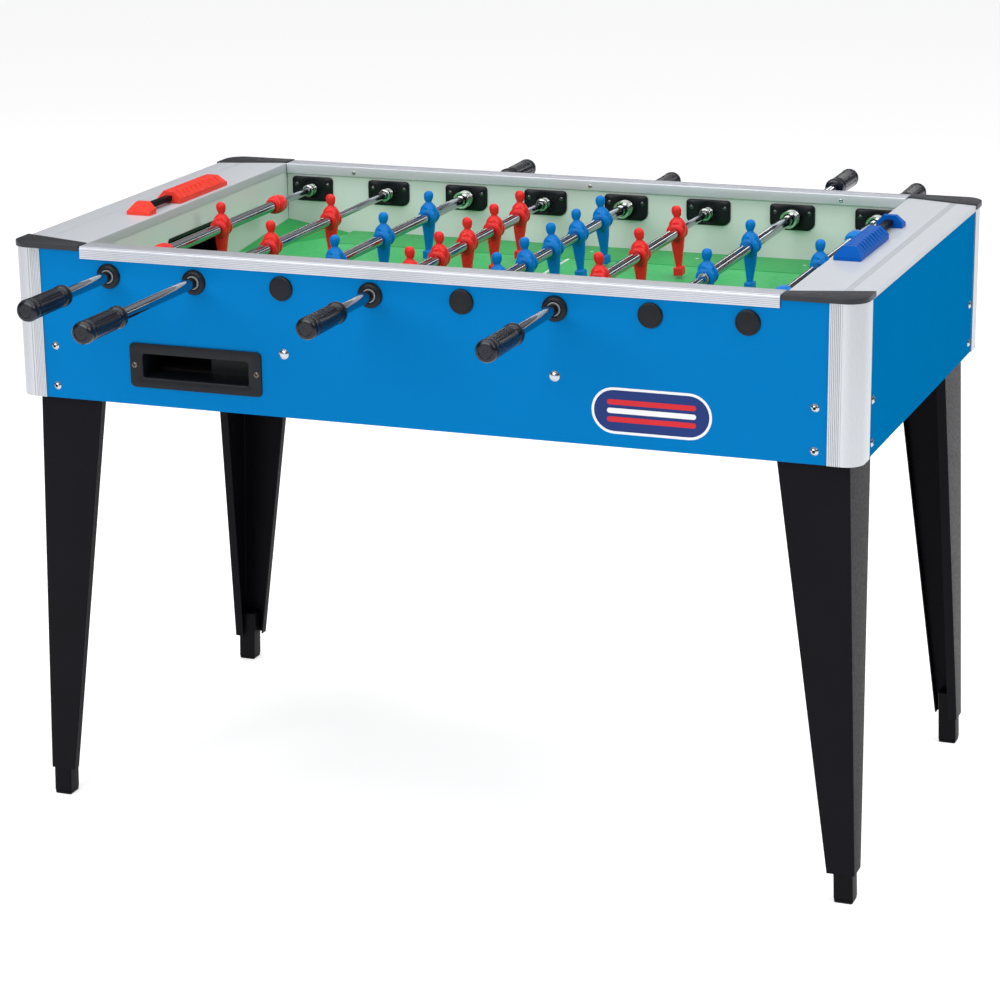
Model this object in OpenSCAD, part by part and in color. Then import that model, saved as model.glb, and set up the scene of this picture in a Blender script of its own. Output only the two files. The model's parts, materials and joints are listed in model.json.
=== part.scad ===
// Table-football table with eight telescopic rods, bead scorers and splayed sheet-steel legs.
// Origin: middle of the floor under the table. X runs along the table, Y across it, Z up.
// The front long side, with the ball return, faces -Y.

/* [Cabinet] */
// Length over the end panels
cabinet_l = 1354; // [1354:2:1370]
// Width over the long panels
cabinet_w = 790; // [760:10:820]
// Height of the cabinet's underside above the floor
underside_z = 687; // [660:1:700]
// Height of the rod axes above the floor
rod_z = 888; // [885:1:890]
// Thickness of the long panels
panel_t = 26; // [24:1:28]
// Thickness of the end panels
end_t = 20; // [18:1:20]
// Distance between the inner faces of the two goal walls
field_l = 1122; // [1122:2:1130]
// Depth of the playfield's surface below the rod axes
field_drop = 76; // [76:1:80]

/* [Rods] */
// Distance between neighbouring rods
rod_pitch = 146; // [146:0.5:147]
// Outer diameter of the sliding tubes
tube_d = 18; // [16:1:18]
// Diameter of the inner rods
inner_rod_d = 12; // [10:1:12]
// Length of a handle
handle_l = 117; // [110:1:140]
// Diameter of a handle at its collar
handle_d = 34; // [30:1:36]

/* [Figures] */
// Distance from the rod axis down to the sole of the foot
sole_drop = 71.5; // [68:0.5:71.5]
// Height of the top of the head above the rod axis
head_rise = 44; // [40:1:46]
// Thickness of a figure along the rod
figure_w = 30; // [26:1:32]

/* [Goals] */
// Width of the goal mouth
goal_w = 200; // [190:5:205]
// Height of the goal mouth above the playfield
goal_h = 67; // [60:1:68]

/* [Legs] */
// Height of the visible foot under a leg
foot_h = 47; // [30:1:60]
// Outward lean of a leg over its visible length
leg_splay = 21; // [0:1:24]

/* [Hidden] */
$fn = 48;

// one record per rod: name, team, side of the handle (-1 is the front), figures, their spacing, rest turn
rods = [
    ["red_goal", "red", -1, 1, 0, 0],
    ["red_defence", "red", -1, 2, 236, 0],
    ["blue_attack", "blue", 1, 3, 194, 1],
    ["red_midfield", "red", -1, 5, 120.5, 0],
    ["blue_midfield", "blue", 1, 5, 120.5, -4],
    ["red_attack", "red", -1, 3, 194, -3],
    ["blue_defence", "blue", 1, 2, 236, 0],
    ["blue_goal", "blue", 1, 1, 0, 0]
];
goal_rods = [0, 7];

function rod_name(i) = rods[i][0];
function team(i) = rods[i][1];
function side(i) = rods[i][2];
function figures(i) = rods[i][3];
function spacing(i) = rods[i][4];
function rest_turn(i) = rods[i][5];
function rod_x(i) = (i - 3.5) * rod_pitch;
function has_bumpers(i) = figures(i) == 1;

// colours
blue_laminate = [0, 0.48, 0.75];
pale_laminate = [0.82, 0.9, 0.87];
field_green = [0.16, 0.62, 0.36];
bright_green = [0.1, 0.66, 0.33];
aluminium = [0.78, 0.8, 0.82];
chrome = [0.85, 0.86, 0.88];
black_plastic = [0.1, 0.1, 0.11];
board_black = [0.1, 0.09, 0.08];
team_red = [0.86, 0.12, 0.12];
team_blue = [0, 0.36, 0.75];
function team_colour(name) = name == "red" ? team_red : team_blue;

// cabinet heights and half sizes
half_l = cabinet_l / 2;
half_w = cabinet_w / 2;
wall_y = half_w - panel_t;              // inner face of the long walls
wall_x = half_l - end_t;                // inner face of the end panels
rail_top = 932;
trim_t = 3;                             // thickness of the aluminium rails
panel_top = rail_top - trim_t;
end_plate_top = rail_top - 1;
cap_top = 933;
cap_bottom = 925;
field_z = rod_z - field_drop;
field_t = 18;
liner_t = 4;
goal_wall_x = field_l / 2;
goal_wall_t = 16;
joint_gap = 0.2;                        // joint between neighbouring boards
plate_in_x = goal_wall_x - 1;           // inner edge of the end plates
rail_end_x = plate_in_x - 2;
board_z = underside_z + 3;
base_t = 10;

// rod hardware
tube_r = tube_d / 2;
inner_rod_r = inner_rod_d / 2;
running_gap = 0.05;                     // radial play of a running fit
wall_hole_r = 15;
bush_r = 14.9;
flange_r = 19.5;
flange_t = 7;
plate_t = 4;
plate_w = 77;
plate_h = 43;
spring_l = 24;
plate_face_y = wall_y - plate_t;
spring_face_y = plate_face_y - spring_l;
tube_bore_r = inner_rod_r + 1.2;
tube_end_t = 4;                         // narrow bush at the tube's open end
bumper_l = 38;
bumper_y = 214;
stop_gap = 5;
handle_gap = 31;                        // handle to bushing with the tube pushed fully in
handle_plug = 100;                      // length of tube inside the handle
inner_rod_end_y = 380;                  // where the inner rod stops on the handle's side

// farthest point of the figures or bumpers from the middle of a rod
function group_end(i) = has_bumpers(i) ? bumper_y + bumper_l / 2
                                       : (figures(i) - 1) / 2 * spacing(i) + figure_w / 2;
function travel(i) = spring_face_y - group_end(i) - stop_gap;
function collar_y(i) = half_w + flange_t + travel(i) + handle_gap;
function tube_open_y(i) = group_end(i) + tube_end_t;

// legs
leg_plate_t = 2.5;
leg_top_z = 785;
leg_bottom_z = foot_h;
leg_fold_x = wall_x - 0.3;              // fold line at the height of the underside
leg_face_y = wall_y - 0.5;
leg_front_w = [109, 43];                // front flange width: at the underside, at the bottom
leg_side_w = [125, 40];                 // side flange width: at the underside, at the bottom
leg_lip = 15;
splay_rate = leg_splay / (underside_z - leg_bottom_z);
foot_a = 30;
foot_pad_h = 6;
foot_y = leg_face_y - leg_plate_t - foot_a / 2;

// corner posts
post_r = panel_t + 2;
post_t = 2;
post_front_x = 630;                     // where the post's flange starts on the long side
post_side_y = 342;                      // where it starts on the end
corner_x = half_l + post_t - post_r;    // axis of the round corner, and end of the long panels

// ball return
cup_x = -368;
cup_z = 751;
cup_w = 224;
cup_h = 70;
cup_mouth_w = 180;
cup_mouth_h = 37;
cup_depth = 56;
cup_wall = 3;

// scorers
scorer_x = 589;
scorer_w = 42;
scorer_h = 20;
scorer_l = 286;
bracket_l = 24;
counter_count = 10;
counter_l = 15;
counter_pitch = 15.2;
bar_w = 12;
bar_h = 8;
bar_z = end_plate_top + 5;
counters_l = counter_count * counter_pitch;
counter_travel = scorer_l - 2 * bracket_l - counters_l - 0.8;

// fasteners
panel_screw_r = 6.5;
bolt_r = 8;
plate_screw_r = 3.5;
corner_screw_x = 611;
corner_screw_y = 323;
corner_screw_z = [706.5, 770.5];
screw_reach = 8;                        // length of a screw behind the panel it holds
coach_bolt_x = 218;
coach_bolt_z = 786.5;
cap_screw_r = 3;
cap_screws = [[662, 352], [617, 385]];

// ---- helpers -------------------------------------------------------------------------------

// repeats its children at every corner of the table, mirrored
module four_corners() {
    for (mx = [0, 1], my = [0, 1])
        mirror([mx, 0, 0]) mirror([0, my, 0]) children();
}

// mirrored pair on the front and rear long sides
module both_long_sides() {
    for (my = [0, 1]) mirror([0, my, 0]) children();
}

// mirrored pair on the left and right ends
module both_ends() {
    for (mx = [0, 1]) mirror([mx, 0, 0]) children();
}

// box given by its lowest and highest corners
module block(low, high) {
    translate(low) cube(high - low);
}

// cylinder along +Y, starting at y
module y_cylinder(x, y, z, r, l) {
    translate([x, y, z]) rotate([-90, 0, 0]) cylinder(r = r, h = l);
}

// shape turned about the Y axis through [x, y, rod_z] from a profile of [radius, distance] points;
// dir is 1 when the distances run along +Y and -1 when they run along -Y
module turned_y(x, y, dir, profile) {
    translate([x, y, rod_z]) rotate([-90 * dir, 0, 0]) rotate_extrude() polygon(profile);
}

// rectangle with rounded corners, centred, drawn exactly
module rounded_rect(w, h, r) {
    square([w, h - 2 * r], center = true);
    square([w - 2 * r, h], center = true);
    for (sx = [-1, 1], sy = [-1, 1]) translate([sx * (w / 2 - r), sy * (h / 2 - r)]) circle(r);
}

// plate standing in the XZ plane, extruded from y0 by t along +Y
module xz_plate(y0, t) {
    translate([0, y0 + t, 0]) rotate([90, 0, 0]) linear_extrude(t) children();
}

// ---- cabinet -------------------------------------------------------------------------------

// long panel on the front side, with its rod holes and the rebate for the inner wall
module long_panel() {
    difference() {
        block([-corner_x, -half_w, underside_z], [corner_x, -wall_y, panel_top]);
        block([-corner_x - 1, -wall_y - liner_t, field_z],
              [corner_x + 1, -wall_y + 1, panel_top + 1]);
        for (i = [0:7]) y_cylinder(rod_x(i), -half_w - 1, rod_z, wall_hole_r, panel_t + 2);
    }
}

module front_panel() {
    color(blue_laminate) difference() {
        long_panel();
        block([cup_x - cup_mouth_w / 2 - cup_wall, -half_w - 1, cup_z - cup_mouth_h / 2 - cup_wall],
              [cup_x + cup_mouth_w / 2 + cup_wall, -wall_y + 1, cup_z + cup_mouth_h / 2 + cup_wall]);
    }
}

module rear_panel() {
    color(blue_laminate) mirror([0, 1, 0]) long_panel();
}

module end_panel() {
    block([wall_x, -wall_y, underside_z], [half_l, wall_y, panel_top]);
}

module left_panel() {
    color(blue_laminate) mirror([1, 0, 0]) end_panel();
}

module right_panel() {
    color(blue_laminate) end_panel();
}

// boards of one goal wall round the framed mouth: sill, lintel, sides and corner pieces
module goal_wall() {
    x = [goal_wall_x, goal_wall_x + goal_wall_t];
    half = goal_w / 2 + goal_frame_t;
    top = field_z + goal_h + goal_frame_t;
    corner = goal_chamfer - 2 * joint_gap;
    block([x[0], -wall_y, field_z - field_t], [x[1], wall_y, field_z]);
    block([x[0], joint_gap - half, top], [x[1], half - joint_gap, panel_top]);
    both_long_sides() {
        block([x[0], joint_gap - wall_y, field_z + joint_gap], [x[1], -half, panel_top]);
        translate([x[0], joint_gap - half, top - joint_gap]) rotate([90, 0, 90])
            linear_extrude(goal_wall_t) polygon([[0, 0], [0, -corner], [corner, 0]]);
    }
}

// pale boards round the playfield: two long liners and two goal walls
module inner_walls() {
    liner_x = goal_wall_x - 0.5;
    color(pale_laminate) {
        both_long_sides() difference() {
            block([-liner_x, -wall_y - liner_t, field_z], [liner_x, -wall_y, panel_top]);
            for (i = [0:7])
                y_cylinder(rod_x(i), -wall_y - liner_t - 1, rod_z, wall_hole_r, liner_t + 2);
        }
        both_ends() goal_wall();
    }
}

module playfield() {
    color(field_green) block([-goal_wall_x, -wall_y, field_z - field_t],
                             [goal_wall_x, wall_y, field_z]);
}

// sloping strips along the long walls and raised corners
ramp_w = 88;
ramp_rise = 5;
corner_ramp = [125, 205, 20];           // along X, along Y, rise

module playfield_ramps() {
    color(bright_green) {
        both_long_sides() translate([-goal_wall_x + corner_ramp[0], 0, 0]) rotate([90, 0, 90])
            linear_extrude(2 * (goal_wall_x - corner_ramp[0]))
                polygon([[wall_y, field_z], [wall_y, field_z + ramp_rise],
                         [wall_y - ramp_w, field_z + 0.6], [wall_y - ramp_w, field_z]]);
        four_corners() translate([goal_wall_x, wall_y, field_z])
            polyhedron(points = [[0, 0, 0], [-corner_ramp[0], 0, 0], [0, -corner_ramp[1], 0],
                                 [0, 0, corner_ramp[2]]],
                       faces = [[0, 1, 2], [0, 3, 1], [0, 2, 3], [1, 3, 2]]);
    }
}

// bottom boards with the ball return: trays under both goals fall to a trough along the front,
// and the trough falls from both ends to the open half of the cup; the boards lie joint_gap apart
chute_t = 6;
trough_wall = 4;
trough_out_y = half_w - cup_depth - 0.5;
trough_in_y = 290;
trough_end_x = 645;
trough_low = [cup_x - cup_mouth_w / 4, cup_z - cup_mouth_h / 2 + 1.5];
trough_left_z = 748;
trough_right_z = 775;
trough_wall_z = [722, 790];
tray_x = goal_wall_x + goal_wall_t + 2;
tray_y = [-289, 110];
tray_z = [779, 797];
leg_room = 136;

module bottom_boards() {
    top = board_z + base_t;
    centre_x = wall_x - leg_room;
    block([-centre_x, -wall_y, board_z], [centre_x, wall_y, top]);
    both_ends() block([centre_x + joint_gap, leg_room - wall_y, board_z],
                      [wall_x, wall_y - leg_room, top]);
}

// one sloping floor of the trough, from the low point to an end
module trough_floor(end_x, end_z) {
    start_x = trough_low[0] + sign(end_x) * joint_gap / 2;
    translate([0, -trough_out_y, 0]) xz_plate(0, trough_out_y - trough_in_y)
        polygon([[end_x, end_z - chute_t], [end_x, end_z], [start_x, trough_low[1]],
                 [start_x, trough_low[1] - chute_t]]);
}

// walls and supports of the trough; the front wall leaves the cup free
module trough_walls() {
    out_y = trough_out_y + joint_gap;
    in_y = trough_in_y - joint_gap;
    cup_clear = cup_mouth_w / 2 + cup_wall + 1;
    block([joint_gap - tray_x, -in_y, trough_wall_z[0]],
          [tray_x - joint_gap, trough_wall - in_y, trough_wall_z[1]]);
    for (span = [[-trough_end_x, cup_x - cup_clear], [cup_x + cup_clear, trough_end_x]])
        block([span[0], -out_y - trough_wall, trough_wall_z[0]],
              [span[1], -out_y, trough_wall_z[1]]);
    for (x = [60 - tray_x, 0, tray_x - 60])
        block([x - 15, -out_y - trough_wall, board_z + base_t + joint_gap],
              [x + 15, trough_wall - in_y, trough_wall_z[0] - joint_gap]);
}

// tray under one goal, on a block that stands on the bottom board
module goal_tray() {
    support_y = -90;
    translate([tray_x, 0, 0]) rotate([90, 0, 90]) linear_extrude(trough_end_x - tray_x)
        polygon([[tray_y[0], tray_z[0] - chute_t], [tray_y[1], tray_z[1] - chute_t],
                 [tray_y[1], tray_z[1]], [tray_y[0], tray_z[0]]]);
    block([tray_x + 10, support_y - 10, board_z + base_t + joint_gap],
          [trough_end_x - 10, support_y + 10, tray_z[0] - 1]);
}

module return_base() {
    color(board_black) {
        bottom_boards();
        trough_floor(-trough_end_x, trough_left_z);
        trough_floor(trough_end_x, trough_right_z);
        trough_walls();
        both_ends() goal_tray();
    }
}

// ---- aluminium trim ------------------------------------------------------------------------

// capping rail: outer lip, rounded top edge and inner lip
rail_out_y = half_w + 4;
rail_in_y = wall_y - 7;
rail_skirt_z = 913;

module side_rails() {
    color(aluminium) both_long_sides() translate([-rail_end_x, 0, 0]) rotate([90, 0, 90])
        linear_extrude(2 * rail_end_x) {
            polygon([[-rail_out_y, rail_skirt_z], [-rail_out_y, panel_top],
                     [-rail_out_y + trim_t, rail_top], [-rail_in_y, rail_top],
                     [-rail_in_y, rail_skirt_z + 2], [-rail_in_y - 2, rail_skirt_z + 2],
                     [-rail_in_y - 2, panel_top], [-half_w - 1, panel_top],
                     [-half_w - 1, rail_skirt_z]]);
        }
}

// cover plate over each end: flat sheet that ends under the corner caps, with two turned-down lips
module end_plates() {
    lip_z = [917, 922.5];               // lower edges of the inner and outer lips
    sheet_y = wall_y - 1;
    outer_lip_y = post_side_y - 1;
    color(aluminium) both_ends() {
        block([plate_in_x, -sheet_y, panel_top], [half_l + 3, sheet_y, end_plate_top]);
        block([plate_in_x, -sheet_y, lip_z[0]], [plate_in_x + 1, sheet_y, panel_top + 1]);
        block([half_l + 1, -outer_lip_y, lip_z[1]],
              [half_l + 3, outer_lip_y, panel_top + 1]);
    }
}

module corner_posts() {
    color(aluminium) four_corners() translate([0, 0, underside_z])
        linear_extrude(cap_bottom - underside_z) {
            translate([post_front_x, half_w]) square([corner_x - post_front_x, post_t]);
            translate([half_l, post_side_y]) square([post_t, wall_y - post_side_y]);
            intersection() {
                translate([corner_x, wall_y]) difference() {
                    circle(post_r);
                    circle(post_r - post_t);
                }
                translate([corner_x, wall_y]) square(post_r + 1);
            }
        }
}

// ---- corner caps ---------------------------------------------------------------------------

cap_x = half_l + 5;
cap_y = half_w + 5;
cap_r = 32;
cap_in_x = rail_end_x + 2;
cap_tip_y = 371;                        // inner tip of the wedge
cap_side_y = 336;                       // where the wedge meets the outer side
cap_skin = 1.6;

// plan of a cap over the corner at +X +Y; shrink pulls in its two outer sides
module cap_plan(shrink = 0) {
    intersection() {
        polygon([[cap_in_x, cap_tip_y], [cap_x + 1, cap_side_y], [cap_x + 1, cap_y + 1],
                 [cap_in_x, cap_y + 1]]);
        union() {
            square([cap_x - shrink, cap_y - cap_r]);
            square([cap_x - cap_r, cap_y - shrink]);
            translate([cap_x - cap_r, cap_y - cap_r]) circle(cap_r - shrink);
        }
    }
}

module corner_caps() {
    color(black_plastic) four_corners() {
        translate([0, 0, end_plate_top]) linear_extrude(cap_top - end_plate_top) cap_plan();
        translate([0, 0, cap_bottom]) linear_extrude(end_plate_top - cap_bottom) difference() {
            cap_plan();
            cap_plan(cap_skin);
        }
    }
}

// ---- goals and ball return -----------------------------------------------------------------

goal_frame_t = 5;
goal_frame_r = 16;

// width of the frame's outer bevel that keeps its thickness at the rounded inner corner
goal_chamfer = (2 - sqrt(2)) * (goal_frame_r + goal_frame_t);

// goal mouth in the YZ plane, with rounded upper corners
module goal_mouth() {
    half = goal_w / 2;
    top = field_z + goal_h;
    translate([-half, field_z - 1]) square([goal_w, goal_h + 1 - goal_frame_r]);
    translate([goal_frame_r - half, field_z - 1]) square([goal_w - 2 * goal_frame_r, goal_h + 1]);
    for (s = [-1, 1]) translate([s * (half - goal_frame_r), top - goal_frame_r])
        circle(goal_frame_r);
}

module goal_frames() {
    half = goal_w / 2 + goal_frame_t;
    top = field_z + goal_h + goal_frame_t;
    color(black_plastic) both_ends() translate([goal_wall_x - 1.5, 0, 0]) rotate([90, 0, 90])
        linear_extrude(goal_wall_t + 1.5) difference() {
            polygon([[-half, field_z], [half, field_z], [half, top - goal_chamfer],
                     [half - goal_chamfer, top], [goal_chamfer - half, top],
                     [-half, top - goal_chamfer]]);
            goal_mouth();
        }
}

// recessed cup in the front panel: face plate, tray and a side opening for the balls
module ball_cup() {
    mouth_w = cup_mouth_w;
    mouth_h = cup_mouth_h;
    color(black_plastic) difference() {
        union() {
            translate([cup_x, 0, cup_z]) xz_plate(-half_w - 3, 3) rounded_rect(cup_w, cup_h, 8);
            block([cup_x - mouth_w / 2 - cup_wall, -half_w - 1, cup_z - mouth_h / 2 - cup_wall],
                  [cup_x + mouth_w / 2 + cup_wall, -half_w + cup_depth,
                   cup_z + mouth_h / 2 + cup_wall]);
        }
        block([cup_x - mouth_w / 2, -half_w - 4, cup_z - mouth_h / 2],
              [cup_x + mouth_w / 2, -half_w + cup_depth - cup_wall, cup_z + mouth_h / 2]);
        block([cup_x - mouth_w / 2, -half_w + 10, cup_z - mouth_h / 2],
              [cup_x, -half_w + cup_depth + 1, cup_z + mouth_h / 2]);
    }
}

// ---- legs ----------------------------------------------------------------------------------

function leg_lean(z) = (underside_z - z) * splay_rate;
function leg_taper(w, z) = w[1] + (w[0] - w[1]) * (z - leg_bottom_z) / (underside_z - leg_bottom_z);
function fold_x(z) = leg_fold_x + leg_lean(z);
function foot_x(z) = fold_x(z) - leg_plate_t - 1;

// flange facing the long side, with its folded lip
module leg_front_flange() {
    inner_top = fold_x(leg_top_z) - leg_taper(leg_front_w, leg_top_z);
    inner_bottom = fold_x(leg_bottom_z) - leg_front_w[1];
    xz_plate(leg_face_y - leg_plate_t, leg_plate_t)
        polygon([[fold_x(leg_top_z), leg_top_z], [fold_x(leg_bottom_z), leg_bottom_z],
                 [inner_bottom, leg_bottom_z], [inner_top, leg_top_z]]);
    xz_plate(leg_face_y - leg_lip, leg_lip - leg_plate_t)
        polygon([[inner_top, leg_top_z], [inner_top + leg_plate_t, leg_top_z],
                 [inner_bottom + leg_plate_t, leg_bottom_z], [inner_bottom, leg_bottom_z]]);
}

// flange facing the end, leaning outwards with the fold
module leg_side_flange() {
    lean_angle = atan(splay_rate);
    slant = 1 / cos(lean_angle);
    translate([fold_x(leg_bottom_z), leg_face_y - leg_plate_t, leg_bottom_z]) rotate([0, -lean_angle, 0])
        translate([-leg_plate_t, 0, 0]) rotate([90, 0, 90]) linear_extrude(leg_plate_t)
            polygon([[0, 0], [0, (leg_top_z - leg_bottom_z) * slant],
                     [leg_plate_t - leg_taper(leg_side_w, leg_top_z),
                      (leg_top_z - leg_bottom_z) * slant],
                     [leg_plate_t - leg_side_w[1], 0]]);
}

module legs() {
    color(black_plastic) four_corners() intersection() {
        union() {
            leg_front_flange();
            leg_side_flange();
        }
        block([0, 0, leg_bottom_z], [cabinet_l, cabinet_w, leg_top_z]);
    }
}

// square tube inside the bottom of each leg, leaning with it, with a plastic end cap on the floor
module feet() {
    tube_top_z = 89;
    color(black_plastic) four_corners() {
        xz_plate(foot_y - foot_a / 2, foot_a)
            polygon([[foot_x(foot_pad_h), foot_pad_h], [foot_x(tube_top_z), tube_top_z],
                     [foot_x(tube_top_z) - foot_a, tube_top_z],
                     [foot_x(foot_pad_h) - foot_a, foot_pad_h]]);
        translate([foot_x(foot_pad_h) - foot_a / 2, foot_y, 0]) linear_extrude(foot_pad_h)
            rounded_rect(foot_a - 1.5, foot_a - 1.5, 3);
    }
}

// ---- rod hardware in the walls -------------------------------------------------------------

// plan of a bearing plate: nearly square corners above, rounder ones below
module plate_outline() {
    top_r = 6;
    low_r = 14;
    half = plate_w / 2;
    rise = plate_h / 2;
    difference() {
        square([plate_w, plate_h], center = true);
        for (s = [-1, 1]) {
            corner_cut(s, 1, half, rise, top_r);
            corner_cut(s, -1, half, rise, low_r);
        }
    }
}

// the waste outside a rounded corner
module corner_cut(sx, sy, half, rise, r) {
    difference() {
        translate([sx * (half - r / 2 + 1), sy * (rise - r / 2 + 1)]) square(r + 2, center = true);
        translate([sx * (half - r), sy * (rise - r)]) circle(r);
        translate([sx * (half - r - 2), sy * (rise - r / 2)]) square([4, r + 4], center = true);
        translate([sx * (half - r / 2), sy * (rise - r - 2)]) square([r + 4, 4], center = true);
    }
}

// inner plate on the handle side: a clear hole round the tube; on the far side: a bush that
// carries the inner rod
module bearing_plates() {
    color(black_plastic) for (i = [0:7]) {
        for (face = [-1, 1]) {
            carries_rod = face != side(i);
            difference() {
                union() {
                    translate([rod_x(i), 0, rod_z])
                        xz_plate(face > 0 ? plate_face_y : -plate_face_y - plate_t, plate_t)
                            plate_outline();
                    if (carries_rod)
                        y_cylinder(rod_x(i), face > 0 ? wall_y - 1 : -wall_y - 14, rod_z, bush_r, 15);
                }
                y_cylinder(rod_x(i), face > 0 ? wall_y - 30 : -wall_y - 30, rod_z,
                           carries_rod ? inner_rod_r + running_gap : tube_r + 2, 60);
            }
        }
    }
}

// flanged bush that guides the sliding tube through the handle-side wall
module outer_bushings() {
    color(black_plastic) for (i = [0:7]) {
        bore = tube_r + running_gap;
        turned_y(rod_x(i), side(i) * (half_w + flange_t), -side(i),
                 [[bore, 0], [flange_r - 5, 0], [flange_r - 1.5, 1.5], [flange_r, 4],
                  [flange_r, flange_t], [bush_r, flange_t], [bush_r, flange_t + panel_t - 1],
                  [bore, flange_t + panel_t - 1]]);
    }
}

// closed cap over the far end of each inner rod
module blank_caps() {
    cap_r1 = 19;
    color(black_plastic) for (i = [0:7])
        turned_y(rod_x(i), -side(i) * (half_w + 4), side(i),
                 [[0, 0], [cap_r1 - 2, 0], [cap_r1, 1.5], [cap_r1, 4], [bush_r, 4], [bush_r, 7],
                  [0, 7]]);
}

// buffer springs, as ribbed sleeves: large ones round the tubes, small ones round the inner rods
module buffer_springs() {
    ribs = 5;
    color(chrome) for (i = [0:7]) {
        spring_sleeve(i, side(i), tube_r + 1, 14.5, spring_l, ribs);
        spring_sleeve(i, -side(i), inner_rod_r + 0.5, 10.5, spring_l - 4, ribs);
    }
}

module spring_sleeve(i, face, bore, r, l, ribs) {
    pitch = l / ribs;
    turned_y(rod_x(i), face * plate_face_y, -face, concat(
        [[bore, 0]],
        [for (k = [0:ribs - 1]) each [[r - 1.5, k * pitch], [r, (k + 0.5) * pitch]]],
        [[r - 1.5, l], [bore, l]]));
}

// ---- rods and figures ----------------------------------------------------------------------

// inner rod: runs in the far wall's bush, with a retaining head behind the blank cap
module inner_rod(i) {
    head_y = half_w - 5;
    length = head_y + inner_rod_end_y;
    color(chrome)
        turned_y(rod_x(i), -side(i) * head_y, side(i),
                 [[0, 0], [inner_rod_r + 3, 0], [inner_rod_r + 3, 4], [inner_rod_r, 4],
                  [inner_rod_r, length], [0, length]]);
}

// sliding tube, closed at the handle and open at the far end with a narrow bush
module tube(i) {
    closed_y = collar_y(i) + handle_plug;
    length = closed_y + tube_open_y(i);
    color(chrome)
        turned_y(rod_x(i), side(i) * closed_y, -side(i),
                 [[0, 0], [tube_r, 0], [tube_r, length], [inner_rod_r + running_gap, length],
                  [inner_rod_r + running_gap, length - tube_end_t],
                  [tube_bore_r, length - tube_end_t], [tube_bore_r, 3], [0, 3]]);
}

// one figure, standing on the rod axis at y = 0, facing +X
module figure() {
    neck_z = 22;
    head_r = 9;
    hip_z = -12;
    foot = [15, 20, 16];
    difference() {
        union() {
            translate([0, 0, head_rise - head_r]) sphere(head_r);
            translate([0, 0, neck_z - 4]) cylinder(r = 5, h = head_rise - head_r - neck_z);
            translate([0, 0, 4]) cylinder(r1 = figure_w / 2 - 1, r2 = 6, h = neck_z - 4);
            rotate([90, 0, 0]) cylinder(r = 14.5, h = figure_w - 4, center = true);
            intersection() {
                xz_plate(-figure_w / 2, figure_w)
                    polygon([[-13, 4], [13, 4], [9, hip_z - 12], [5.5, 10 - sole_drop],
                             [-5.5, 10 - sole_drop], [-9, hip_z - 12]]);
                translate([-20, 0, 0]) rotate([90, 0, 90]) linear_extrude(40)
                    polygon([[-figure_w / 2, 4], [figure_w / 2, 4], [11, hip_z - 12],
                             [7, 10 - sole_drop], [-7, 10 - sole_drop], [-11, hip_z - 12]]);
            }
            translate([-foot[0] / 2, -foot[1] / 2, -sole_drop]) cube(foot);
        }
        rotate([90, 0, 0]) cylinder(r = tube_r, h = figure_w + 10, center = true);
    }
}

// all the figures on one rod
module figure_group(i) {
    color(team_colour(team(i))) for (k = [0:figures(i) - 1])
        translate([rod_x(i), (k - (figures(i) - 1) / 2) * spacing(i), rod_z])
            rotate([0, rest_turn(i), 0]) figure();
}

// handle: rounded collar, neck, ribbed grip and a shallow recess in the end
module handle(i) {
    r = handle_d / 2;
    color(black_plastic)
        turned_y(rod_x(i), side(i) * collar_y(i), side(i),
                 [[tube_r, 0], [r - 5, 0], [r - 1, 2.5], [r, 7], [r - 0.5, 14], [r - 2, 18],
                  [r - 2.6, 20], [r - 1.2, 28], [r - 0.6, handle_l - 18], [r - 1, handle_l - 14],
                  [r - 0.4, handle_l - 8], [r - 2, handle_l - 2.5], [r - 5, handle_l],
                  [r - 7, handle_l], [r - 8, handle_l - 2], [0, handle_l - 2],
                  [0, handle_plug], [tube_r, handle_plug]]);
}

// pair of bumpers that limit the goalkeeper's travel
module bumpers(i) {
    color(team_colour(team(i))) for (s = [-1, 1])
        turned_y(rod_x(i), s * (bumper_y - bumper_l / 2), s,
                 [[tube_r, 0], [11.5, 0], [12.5, 1.5], [12.5, 7], [14, 7.5], [15.5, 12],
                  [15.5, bumper_l - 7], [14, bumper_l - 2], [11, bumper_l], [tube_r, bumper_l]]);
}

// ---- scorers -------------------------------------------------------------------------------

// cross-section of brackets and counters
module scorer_profile() {
    half = scorer_w / 2;
    polygon([[-half, 0], [half, 0], [half, 8], [half - 11, scorer_h], [-half + 11, scorer_h],
             [-half, 8]]);
}

module scorer_bars() {
    color(black_plastic) both_ends()
        block([scorer_x - bar_w / 2, -scorer_l / 2 + 8, bar_z],
              [scorer_x + bar_w / 2, scorer_l / 2 - 8, bar_z + bar_h]);
}

// the two end brackets of the scorer on one side of the table, bevelled at their outer ends
module scorer_brackets(end) {
    both_long_sides() difference() {
        translate([end * scorer_x, scorer_l / 2, end_plate_top]) rotate([90, 0, 0])
            linear_extrude(bracket_l) scorer_profile();
        translate([end * scorer_x - scorer_w, scorer_l / 2, end_plate_top + 6])
            rotate([45, 0, 0])
                cube([2 * scorer_w, 30, 40]);
        translate([end * scorer_x - bar_w / 2, 0, bar_z])
            cube([bar_w, scorer_l / 2 - 8, bar_h]);
    }
}

module red_scorer_brackets() {
    color(team_red) scorer_brackets(-1);
}

module blue_scorer_brackets() {
    color(team_blue) scorer_brackets(1);
}

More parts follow.
